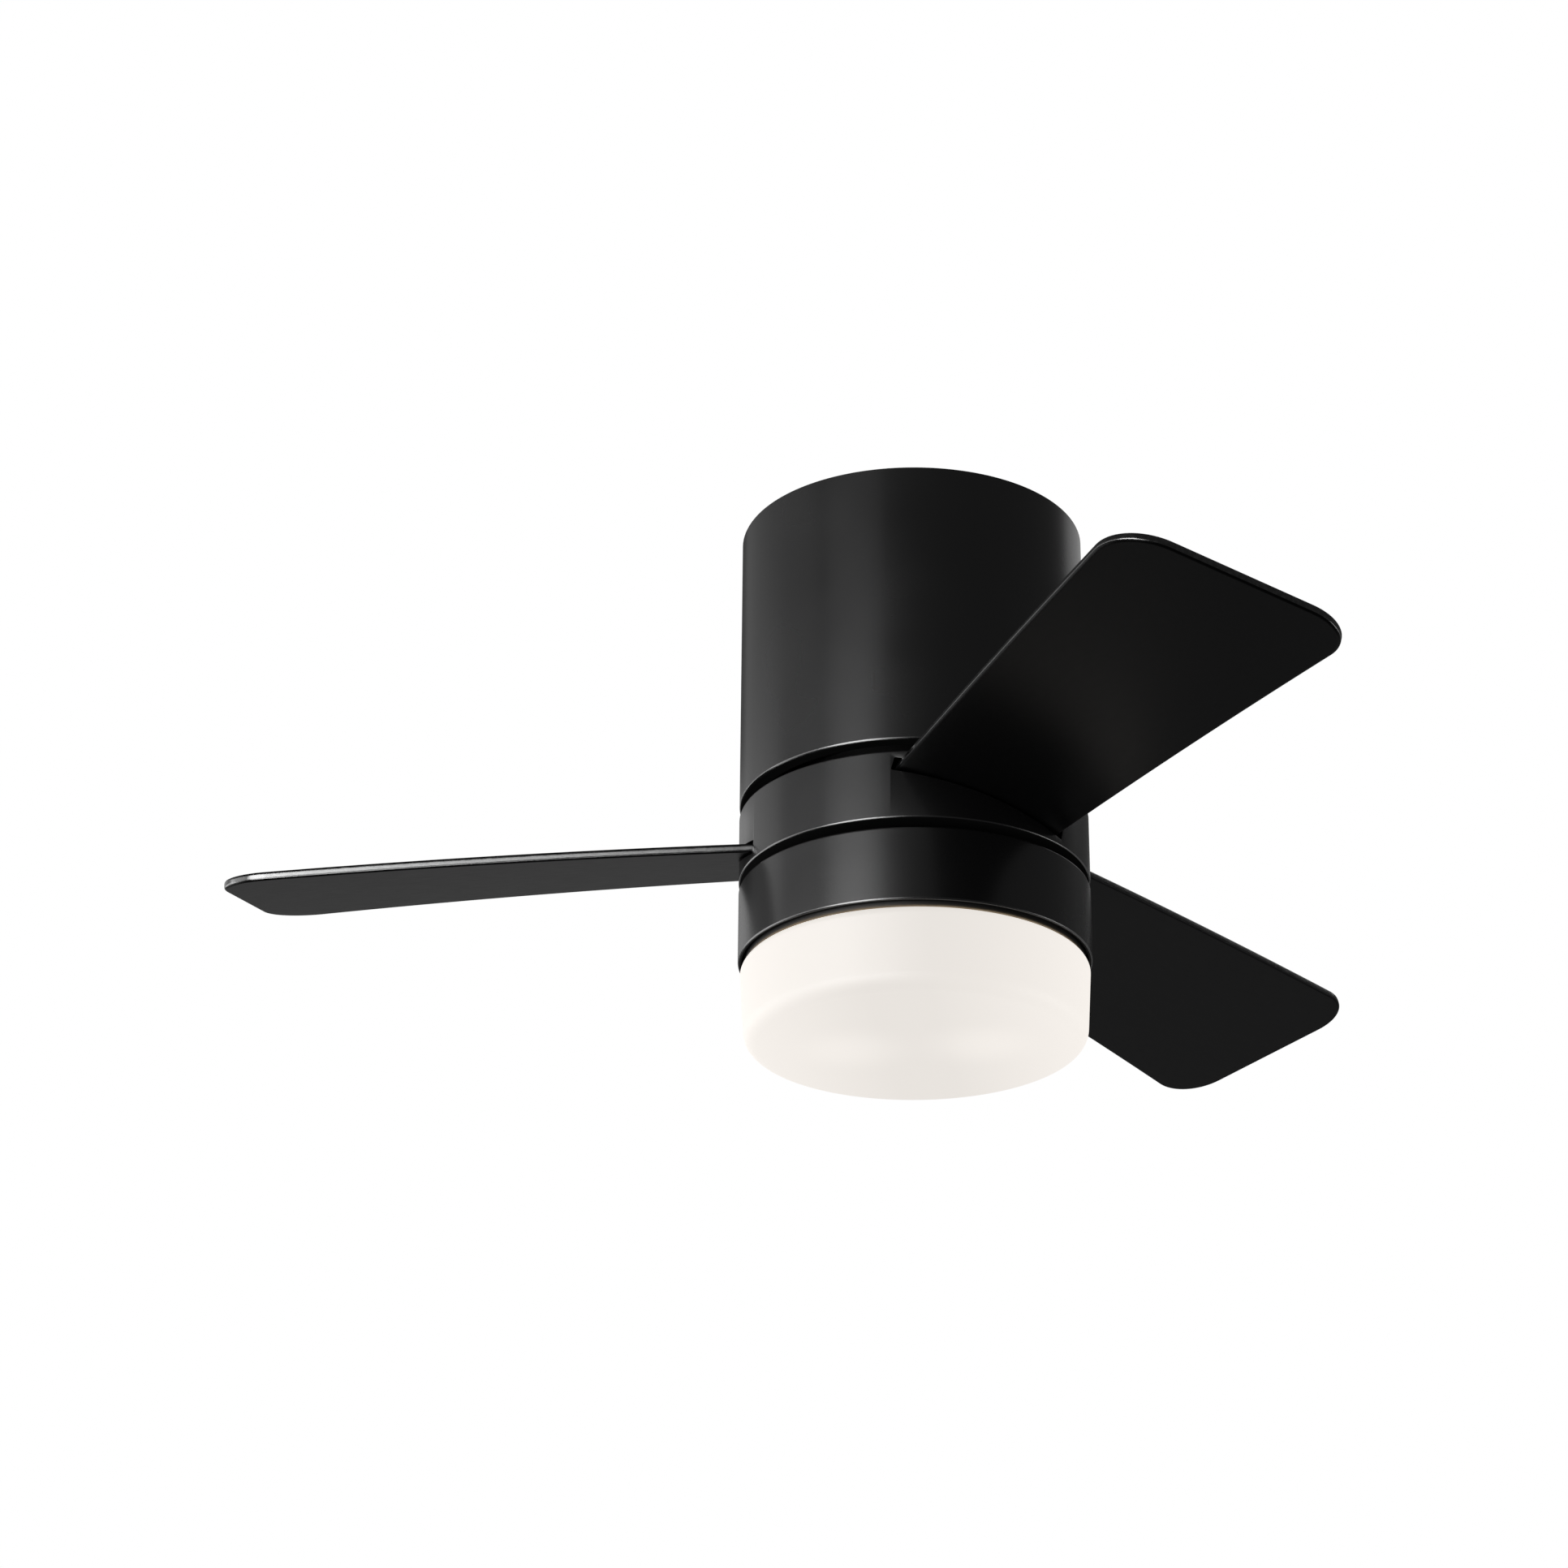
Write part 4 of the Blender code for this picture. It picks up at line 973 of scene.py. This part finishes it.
def make_nut(node, bottom, top):
    """A hexagon nut, chamfered at both ends."""
    flat = NUT_ACROSS_FLATS / 2
    corner = flat / cos(radians(30))
    chamfer = (corner - flat) * 0.6
    bore = SHAFT_RADIUS + GAP
    outline = [(bore + 0.0004, top), (flat - 0.0003, top), (corner + 0.0003, top - chamfer)]
    outline += [(corner + 0.0003, bottom + chamfer), (flat - 0.0003, bottom), (bore + 0.0004, bottom)]
    outline += threads(bore, top - 0.0004, bottom + 0.0004, 0.001, outward=False)[::-1]
    nut = turned(f"hex_{node}", outline, 96)
    hexagon = rod(corner, 2 * (top - bottom), 6)
    carve(nut, [moved(hexagon, at(0, 0, (top + bottom) / 2))], "INTERSECT")
    soften(nut, 0.00015, 2, 50)
    finish(nut, "zinc", "root", node, sharp=40)


# Shaft, bearings and motor

def make_shaft():
    thread_ends = ((SHAFT_TOP - 0.001, YOKE_FLOOR - 0.016), (FITTER_TOP + 0.009, SHAFT_BOTTOM + 0.001))
    outline = [(SHAFT_BORE + 0.0004, SHAFT_TOP), (SHAFT_RADIUS - 0.0008, SHAFT_TOP)]
    for top, bottom in thread_ends:
        outline += threads(SHAFT_RADIUS, top, bottom, 0.001)
        if bottom > SHAFT_BOTTOM + 0.01:
            outline += [(SHAFT_RADIUS, bottom - 0.0004), (SHAFT_RADIUS, FITTER_TOP + 0.0094)]
    outline += [(SHAFT_RADIUS - 0.0008, SHAFT_BOTTOM), (SHAFT_BORE + 0.0004, SHAFT_BOTTOM)]
    outline += [(SHAFT_BORE, SHAFT_BOTTOM + 0.0004), (SHAFT_BORE, SHAFT_TOP - 0.0004)]
    shaft = turned("hollow_shaft", outline, 96)
    finish(shaft, "shaft", "root", "motor_shaft")
    make_nut("shaft_nut_top", YOKE_FLOOR + GAP, YOKE_FLOOR + 0.008)
    make_nut("shaft_nut_bottom", YOKE_FLOOR - YOKE_STRIP - 0.008, YOKE_FLOOR - YOKE_STRIP - GAP)
    make_nut("fitter_nut_top", FITTER_TOP + GAP, FITTER_TOP + 0.005)
    make_nut("fitter_nut_bottom", SOCKET_TOP - 0.006, SOCKET_TOP)


def race(name, wall, shoulder, middle):
    """A bearing race: a ring from the wall's radius to the shoulder's, with a groove for the balls."""
    top = middle + BEARING_HEIGHT / 2
    bottom = middle - BEARING_HEIGHT / 2
    way = copysign(1, shoulder - wall)
    groove = BALL_RADIUS + 0.0001
    reach = asin(sqrt(groove ** 2 - (BALL_PATH - shoulder) ** 2) / groove)
    cut = 0.0005 * way
    outline = [(wall, bottom + 0.0005), (wall + cut, bottom)]
    outline += [(shoulder - cut, bottom), (shoulder, bottom + 0.0005)]
    for step in range(13):
        angle = reach * (step / 6 - 1)
        outline.append((BALL_PATH - way * groove * cos(angle), middle + groove * sin(angle)))
    outline += [(shoulder, top - 0.0005), (shoulder - cut, top)]
    outline += [(wall + cut, top), (wall, top - 0.0005)]
    return turned(name, outline, 96)


def ball(radius, angle, middle):
    shape = bmesh.new()
    bmesh.ops.create_uvsphere(shape, u_segments=24, v_segments=16, radius=radius)
    mesh = bpy.data.meshes.new("ball")
    shape.to_mesh(mesh)
    shape.free()
    return moved(mesh, turn(angle) @ at(BALL_PATH, 0, middle))


def make_bearing(which):
    middle = BEARING_TOPS[which] - BEARING_HEIGHT / 2
    inner = race(f"{which}_inner_race", SHAFT_RADIUS + GAP, 0.0120, middle)
    finish(inner, "race", "root", f"{which}_bearing_inner", sharp=50)
    outer = race(f"{which}_outer_race", OUTER_RACE_OUTSIDE, 0.0155, middle)
    finish(outer, "race", "rotor", f"{which}_bearing_outer", sharp=50)
    half = 0.0004
    tall = 0.0031
    cage = hoop(
        f"{which}_caged_balls", BALL_PATH - half, BALL_PATH + half, middle - tall, middle + tall,
        0.00015, 2, 96,
    )
    angles = [360 * index / BALL_COUNT for index in range(BALL_COUNT)]
    carve(cage, [ball(BALL_RADIUS + 0.0001, angle, middle) for angle in angles])
    cage.data = merged([cage.data.copy()] + [ball(BALL_RADIUS, angle, middle) for angle in angles])
    finish(cage, "race", f"{which}_balls", f"{which}_bearing_balls", sharp=50)


def make_stator():
    outline = []
    for tooth in range(TOOTH_COUNT):
        middle = 360 * tooth / TOOTH_COUNT
        corners = [(SLOT_FLOOR, -8), (TOOTH_NECK, -5), (TOOTH_NECK, -12.5)]
        corners += [(STATOR_RADIUS, -12.5 + 25 * step / 6) for step in range(7)]
        corners += [(TOOTH_NECK, 12.5), (TOOTH_NECK, 5), (SLOT_FLOOR, 8)]
        outline += [polar(radius, middle + offset) for radius, offset in corners]
    stack = new_object("stator_stack", prism("stator_stack", outline, STATOR_BOTTOM, STATOR_TOP))
    bore = rod(SHAFT_RADIUS + GAP, 0.1, 72)
    carve(stack, [moved(bore, at(0, 0, STATOR_TOP))])
    soften(stack, 0.0003, 2, 30)
    finish(stack, "stack", "root", "stator_core")


def make_winding(node, near, far):
    """End turns of the coils: one rounded lobe over each tooth, joined into a ring."""
    around = 288
    sides = 20
    half = (WINDING_OUTSIDE - WINDING_INSIDE) / 2
    middle = (WINDING_OUTSIDE + WINDING_INSIDE) / 2
    points = []
    for index in range(around):
        angle = 360 * index / around
        lobe = abs(cos(radians(TOOTH_COUNT * angle / 2))) ** 0.6
        tall = (far - near) / 2 * (0.62 + 0.38 * lobe)
        wide = half * (0.86 + 0.14 * lobe)
        for side in range(sides):
            x, z = (copysign(abs(part) ** 0.55, part) for part in polar(1, 360 * side / sides))
            points.append((*polar(middle + wide * x, angle), near + tall * (1 + z)))
    name = f"{node}_coils"
    coils = new_object(name, mesh_of(name, points, skin(around, sides, closed=True)))
    finish(coils, "copper", "root", node, sharp=60)


def make_motor():
    inside = ROTOR_RADIUS - ROTOR_WALL
    pocket = OUTER_RACE_OUTSIDE + GAP
    hub = pocket + ROTOR_WALL
    upper_end = BEARING_TOPS["upper"] - BEARING_HEIGHT
    bell = lathe("upper_bell", [
        (BELL_LIP, MOTOR_TOP, 0.0006),
        (0.060, MOTOR_TOP, 0.006),
        (inside, MOTOR_TOP - 0.006, 0.004),
        (ROTOR_RADIUS, MOTOR_TOP - 0.012, 0.0025),
        (ROTOR_RADIUS, BELL_JOINT, 0.0005),
        (inside, BELL_JOINT, 0.0005),
        (inside, MOTOR_TOP - 0.0135, 0.002),
        (0.059, MOTOR_TOP - 0.0042, 0.004),
        (hub, MOTOR_TOP - 0.0042, 0.0012),
        (hub, upper_end, 0.0008),
        (pocket, upper_end, 0.0004),
        (pocket, BEARING_TOPS["upper"] + GAP, 0.0002),
        (BELL_LIP, BEARING_TOPS["upper"] + GAP, 0.0005),
    ], 5, 128)
    finish(bell, "enamel", "rotor", "rotor_top_bell")
    floor = MOTOR_BOTTOM + BELL_FLOOR
    lower_end = BEARING_TOPS["lower"] - BEARING_HEIGHT - GAP
    bell = lathe("lower_bell", [
        (ROTOR_RADIUS, BELL_JOINT - GAP, 0.0005),
        (ROTOR_RADIUS, MOTOR_BOTTOM + 0.006, 0.002),
        (ROTOR_RADIUS - 0.005, MOTOR_BOTTOM, 0.002),
        (BELL_LIP, MOTOR_BOTTOM, 0.0006),
        (BELL_LIP, lower_end, 0.0005),
        (pocket, lower_end, 0.0002),
        (pocket, BEARING_TOPS["lower"], 0.0004),
        (hub, BEARING_TOPS["lower"], 0.0008),
        (hub, floor, 0.0012),
        (inside, floor, 0.002),
        (inside, BELL_JOINT - GAP, 0.0005),
    ], 5, 128)
    carve(bell, iron_screw_holes((MOTOR_BOTTOM + floor) / 2, 0.014))
    finish(bell, "enamel", "rotor", "rotor_bottom_bell")
    ring = hoop(
        "magnet_ring", MAGNET_RING_INSIDE, MAGNET_RING_OUTSIDE, STATOR_BOTTOM - 0.001, STATOR_TOP + 0.001,
        0.0005, 3,
    )
    finish(ring, "stack", "rotor", "rotor_ring")
    top = MOTOR_BOTTOM - GAP
    bottom = HUB_TOP + GAP
    carrier = lathe("carrier_casting", [
        (CARRIER_INSIDE, top, 0.0006),
        (CARRIER_OUTSIDE, top, 0.0008),
        (CARRIER_OUTSIDE, bottom + CARRIER_FLANGE_HEIGHT, 0.0012),
        (CARRIER_FLANGE, bottom + CARRIER_FLANGE_HEIGHT, 0.0008),
        (CARRIER_FLANGE, bottom, 0.0006),
        (CARRIER_INSIDE, bottom, 0.0006),
    ], 4, 128)
    carve(carrier, iron_screw_holes((top + bottom) / 2, 0.03))
    soften(carrier, 0.0002, 2, 50)
    finish(carrier, "enamel", "rotor", "blade_carrier")


# Lamps, switch and wiring

def make_sockets_and_bulbs():
    seat = SOCKET_TOP - 0.008
    socket = rounded([
        (0, SOCKET_TOP, 0),
        (0.0150, SOCKET_TOP, 0.0008),
        (SOCKET_RADIUS, SOCKET_TOP - 0.0035, 0.0012),
        (SOCKET_RADIUS, SOCKET_TOP - 0.012, 0.0004),
        (SOCKET_RADIUS - 0.0008, SOCKET_TOP - 0.0128, 0.0004),
        (SOCKET_RADIUS - 0.0008, SOCKET_BOTTOM + 0.006, 0.0004),
        (SOCKET_RADIUS, SOCKET_BOTTOM + 0.0052, 0.0004),
        (SOCKET_RADIUS, SOCKET_BOTTOM, 0.0010),
        (SOCKET_BORE + 0.0004, SOCKET_BOTTOM, 0.0005),
    ], 4)
    socket += threads(SOCKET_BORE, seat - 0.002, SOCKET_BOTTOM + 0.002, 0.0035, outward=False)[::-1]
    socket += [Vector((SOCKET_BORE, seat)), Vector((0, seat))]
    base_bottom = SOCKET_BOTTOM - 0.026
    base = [(0, SOCKET_TOP - 0.009), (0.0045, SOCKET_TOP - 0.0095), (0.0060, SOCKET_TOP - 0.0105)]
    base += [(0.0120, SOCKET_TOP - 0.0135)]
    base += threads(CAP_RADIUS, SOCKET_TOP - 0.0145, SOCKET_BOTTOM - 0.001, 0.0035)
    base += [(0.0150, SOCKET_BOTTOM - 0.004), (0.0178, SOCKET_BOTTOM - 0.0085)]
    base += [(0.0200, SOCKET_BOTTOM - 0.014), (0.0214, SOCKET_BOTTOM - 0.020)]
    base += [(0.0223, base_bottom + 0.0004), (0.0219, base_bottom), (0, base_bottom)]
    dome_top = base_bottom - GAP
    dome = [(0, dome_top), (0.0222, dome_top), (0.0226, dome_top - 0.0005)]
    for step in range(25):
        out, fall = polar(1, 90 * step / 24)
        dome.append((BULB_RADIUS * out, BULB_WIDEST - (BULB_WIDEST - BULB_TIP) * fall))
    dome[-1] = (0, BULB_TIP)
    for number, side in enumerate((-1, 1), 1):
        middle = at(side * LAMP_OFFSET, 0, 0)
        holder = turned(f"lamp_holder_{number}", socket, LAMP_SEGMENTS, middle)
        for polygon in holder.data.polygons:
            inside = hypot(*polygon.center[:2]) < SOCKET_BORE + THREAD_DEPTH
            polygon.material_index = int(inside and polygon.center.z < seat - 0.0005)
        finish(holder, ("china", "brass"), "root", f"socket_{number}")
        neck = turned(f"lamp_neck_{number}", base, LAMP_SEGMENTS, middle)
        for polygon in neck.data.polygons:
            polygon.material_index = int(polygon.center.z > SOCKET_BOTTOM - 0.001)
        finish(neck, ("lamp", "brass"), "root", f"bulb_{number}_base")
        lamp = turned(f"lamp_dome_{number}", dome, LAMP_SEGMENTS, middle)
        finish(lamp, "frost", "root", f"bulb_{number}")


def make_switch():
    body = new_object("slide_switch", block(
        (-0.011, 0.106, SWITCH_HEIGHT - 0.006), (0.011, SWITCH_FACE - 0.0012, SWITCH_HEIGHT + 0.006),
    ))
    tall = 0.0038
    raised = block((-0.0085, 0.110, SWITCH_HEIGHT - tall), (0.0085, SWITCH_FACE, SWITCH_HEIGHT + tall))
    carve(body, [raised], "UNION")
    soften(body, 0.0005, 3, 40)
    finish(body, "grey", "root", "reverse_switch")
    knob = new_object(
        "switch_slider", block((-0.0028, 0, -0.0017), (0.0028, 0.0055, 0.0017)),
        at(-SWITCH_TRAVEL / 2, SWITCH_FACE + GAP, SWITCH_HEIGHT),
    )
    groove = 0.00022
    carve(knob, [
        block((x - groove, 0.0050, -0.01), (x + groove, 0.01, 0.01))
        for x in (-0.0015, -0.0005, 0.0005, 0.0015)
    ])
    soften(knob, 0.0001, 2, 40)
    finish(knob, "black", "switch_knob", "reverse_switch_knob")


def make_case(name, node, look, low, high, seam_height):
    """A two-part moulded case with a shallow seam round it."""
    inset = 0.0007
    seam = 0.0004
    lower = block(low, (high[0], high[1], seam_height - seam))
    upper = block((low[0], low[1], seam_height + seam), high)
    core = block([value + inset for value in low], [value - inset for value in high])
    case = new_object(name, core)
    carve(case, [lower], "UNION")
    carve(case, [upper], "UNION")
    soften(case, 0.0012, 4, 60)
    finish(case, look, "root", node)


def smooth_route(points, spacing):
    """Points along a Catmull-Rom curve through the given ones."""
    route = [Vector(point) for point in points]
    ends = [2 * route[0] - route[1]] + route + [2 * route[-1] - route[-2]]
    found = []
    for before, a, b, after in zip(ends, ends[1:], ends[2:], ends[3:]):
        steps = max(1, round((b - a).length / spacing))
        for step in range(steps):
            t = step / steps
            bend = (2 * before - 5 * a + 4 * b - after) * t ** 2
            twist = (3 * a - before - 3 * b + after) * t ** 3
            found.append(0.5 * (2 * a + (b - before) * t + (bend + twist)))
    return found + [route[-1]]


def make_wire(name, node, route, radius):
    """A sleeve of even thickness along a route, rounded at both ends."""
    sides = 20
    across = (route[1] - route[0]).orthogonal().normalized()
    points = []
    rings = 0
    for index, middle in enumerate(route):
        along = (route[min(index + 1, len(route) - 1)] - route[max(index - 1, 0)]).normalized()
        across = (across - along * across.dot(along)).normalized()
        other = along.cross(across)
        ends = [(0, 1)]
        if index == 0:
            ends = [(0, 0.6), (radius * 0.15, 0.88), (radius * 0.4, 1)]
        if index == len(route) - 1:
            ends = [(-radius * 0.4, 1), (-radius * 0.15, 0.88), (0, 0.6)]
        for forward, share in ends:
            rings += 1
            for side in range(sides):
                first, second = polar(radius * share, 360 * side / sides)
                points.append(middle + along * forward + across * first + other * second)
    faces = skin(rings, sides)
    faces.append(list(range(sides)))
    faces.append([(rings - 1) * sides + side for side in range(sides)])
    sleeve = new_object(name, mesh_of(name, points, faces))
    finish(sleeve, "sleeve", "root", node)


def make_wiring():
    under_plate = -PLATE_THICKNESS - GAP
    make_case(
        "receiver_case", "remote_receiver", "black",
        (-0.040, 0.060, -0.030), (0.040, 0.100, under_plate), -0.012,
    )
    make_case(
        "capacitor_case", "run_capacitor", "grey",
        (-0.025, -0.086, -0.030), (0.025, -0.060, under_plate), -0.006,
    )
    from_receiver = [
        (0, 0.0597, -0.018),
        (0, 0.048, -0.020),
        (0, 0.030, -0.032),
        (0, 0.012, -0.052),
        (0, 0.002, -0.070),
        (0, 0, SHAFT_TOP),
    ]
    to_socket = [
        (0, 0, SHAFT_BOTTOM),
        (0.0020, 0, SHAFT_BOTTOM - 0.008),
        (0.0075, 0, SHAFT_BOTTOM - 0.0125),
        (0.0150, 0, SHAFT_BOTTOM - 0.0135),
        (0.0240, 0, SHAFT_BOTTOM - 0.012),
    ]
    route = smooth_route(from_receiver, 0.003) + smooth_route(to_socket, 0.0015)
    make_wire("lamp_lead_sleeve", "lamp_lead", route, 0.0020)
    jumper = [
        (0.0240, 0.004, JUMPER_TOP),
        (0.0120, 0.008, JUMPER_TOP - 0.004),
        (0, 0.009, JUMPER_TOP - 0.005),
        (-0.0120, 0.008, JUMPER_TOP - 0.004),
        (-0.0240, 0.004, JUMPER_TOP),
    ]
    make_wire("jumper_sleeve", "socket_jumper", smooth_route(jumper, 0.0015), 0.0018)


def make_brackets():
    refined("hanger_yoke", "ceiling_yoke", "zinc", "root", 0.0005)
    refined("socket_bracket", "lamp_bracket", "zinc", "root", 0.0003)
    for number in range(1, len(BLADE_ANGLES) + 1):
        refined(f"blade_iron_{number}", f"blade_bracket_{number}", "enamel", "rotor", 0.0006)


# Stage

def make_stage():
    """A pale floor, which only the camera sees."""
    r = FLOOR_REACH
    mesh = mesh_of("studio_floor", [(-r, -r, 0), (r, -r, 0), (r, r, 0), (-r, r, 0)], [[0, 1, 2, 3]])
    floor = new_object("studio_floor", mesh, at(0, 0, FLOOR_HEIGHT))
    paper = bpy.data.materials.new("floor_paper")
    paper.use_nodes = True
    shader = paper.node_tree.nodes["Principled BSDF"]
    shader.inputs["Base Color"].default_value = (0.86, 0.86, 0.86, 1)
    shader.inputs["Roughness"].default_value = 0.9
    shader.inputs["Emission Color"].default_value = (1, 0.99, 0.975, 1)
    shader.inputs["Emission Strength"].default_value = 0.72
    paper.cycles.emission_sampling = "NONE"
    mesh.materials.append(paper)
    floor.visible_glossy = False
    floor.visible_diffuse = False


def direction(azimuth, elevation):
    """The way out from the fan. Azimuth runs from the front (-Y) towards +X."""
    a = radians(azimuth)
    e = radians(elevation)
    return Vector((sin(a) * cos(e), -cos(a) * cos(e), sin(e)))


def softbox(name, azimuth, elevation, wide, tall, radiance):
    """A lamp that spans these angles as the fan sees it, and shows only as a highlight."""
    away = direction(azimuth, elevation)
    width, height = (2 * LAMP_DISTANCE * tan(radians(angle / 2)) for angle in (wide, tall))
    data = bpy.data.lights.new(name, "AREA")
    data.shape = "RECTANGLE"
    data.size = width
    data.size_y = height
    data.energy = radiance * pi * width * height
    lamp = new_object(name, data)
    lamp.location = Vector(LAMP_AIM) + away * LAMP_DISTANCE
    lamp.rotation_mode = "QUATERNION"
    lamp.rotation_quaternion = away.to_track_quat("Z", "Y")
    lamp.visible_camera = False
    lamp.visible_diffuse = False


def make_lights():
    for name, azimuth, elevation, wide, tall, radiance in (
        ("left_strip", -105, 14, 30, 22, 0.45),
        ("left_rear_strip", -136, 14, 32, 22, 0.25),
        ("left_high_box", -100, 28, 74, 24, 0.22),
        ("left_fill", -78, -2, 40, 30, 2.3),
        ("front_left_box", -33, -3, 33.5, 30, 12),
        ("front_left_high_box", -33, 24, 33.5, 24, 0.15),
        ("front_strip", -12, -9, 16, 12, 7),
        ("low_front_box", -34, -38, 28, 40, 7),
        ("low_left_box", -108, -16, 44, 48, 2.4),
        ("right_box", 101, -20, 26, 24, 2.6),
        ("right_fill", 130, -15, 36, 44, 0.3),
        ("rear_fill", -165, 10, 80, 30, 0.255),
        ("low_rear_box", -176, -35, 60, 30, 0.28),
        ("low_right_box", 168, -36, 24, 24, 0.25),
        ("high_rear_box", 160, 52, 50, 50, 0.5),
    ):
        softbox(name, azimuth, elevation, wide, tall, radiance)


def make_world():
    """A dim even room for the fan, which the camera sees as a white backdrop."""
    world = bpy.data.worlds.new("studio")
    bpy.context.scene.world = world
    world.use_nodes = True
    tree = world.node_tree
    tree.nodes.clear()
    out = tree.nodes.new("ShaderNodeOutputWorld")
    mix = tree.nodes.new("ShaderNodeMixShader")
    path = tree.nodes.new("ShaderNodeLightPath")
    tree.links.new(path.outputs["Is Camera Ray"], mix.inputs["Fac"])
    for socket, strength in ((1, ROOM_GLOW), (2, 1.0)):
        shine = tree.nodes.new("ShaderNodeBackground")
        shine.inputs["Color"].default_value = (1, 1, 1, 1)
        shine.inputs["Strength"].default_value = strength
        tree.links.new(shine.outputs[0], mix.inputs[socket])
    tree.links.new(mix.outputs[0], out.inputs["Surface"])


def make_camera():
    away = direction(CAMERA_AZIMUTH, CAMERA_ELEVATION)
    roll = Quaternion((0, 0, 1), radians(CAMERA_ROLL))
    data = bpy.data.cameras.new("camera")
    data.lens = CAMERA_LENS
    data.sensor_width = 36
    data.shift_x = CAMERA_SHIFT
    camera = new_object("camera", data)
    camera.location = Vector(CAMERA_AIM) + away * CAMERA_DISTANCE
    camera.rotation_mode = "QUATERNION"
    camera.rotation_quaternion = away.to_track_quat("Z", "Y") @ roll
    bpy.context.scene.camera = camera


def main():
    make_housing()
    make_hub_ring()
    make_light_band()
    make_ceiling_plate()
    make_blades()
    make_shade()
    make_screws()
    make_shaft()
    for which in BEARING_TOPS:
        make_bearing(which)
    make_stator()
    make_winding("winding_top", STATOR_TOP + GAP, STATOR_TOP + 0.011)
    make_winding("winding_bottom", STATOR_BOTTOM - GAP, STATOR_BOTTOM - 0.011)
    make_motor()
    make_brackets()
    make_sockets_and_bulbs()
    make_switch()
    make_wiring()
    make_stage()
    make_lights()
    make_world()
    make_camera()
    bpy.context.scene.view_settings.view_transform = "Standard"


main()
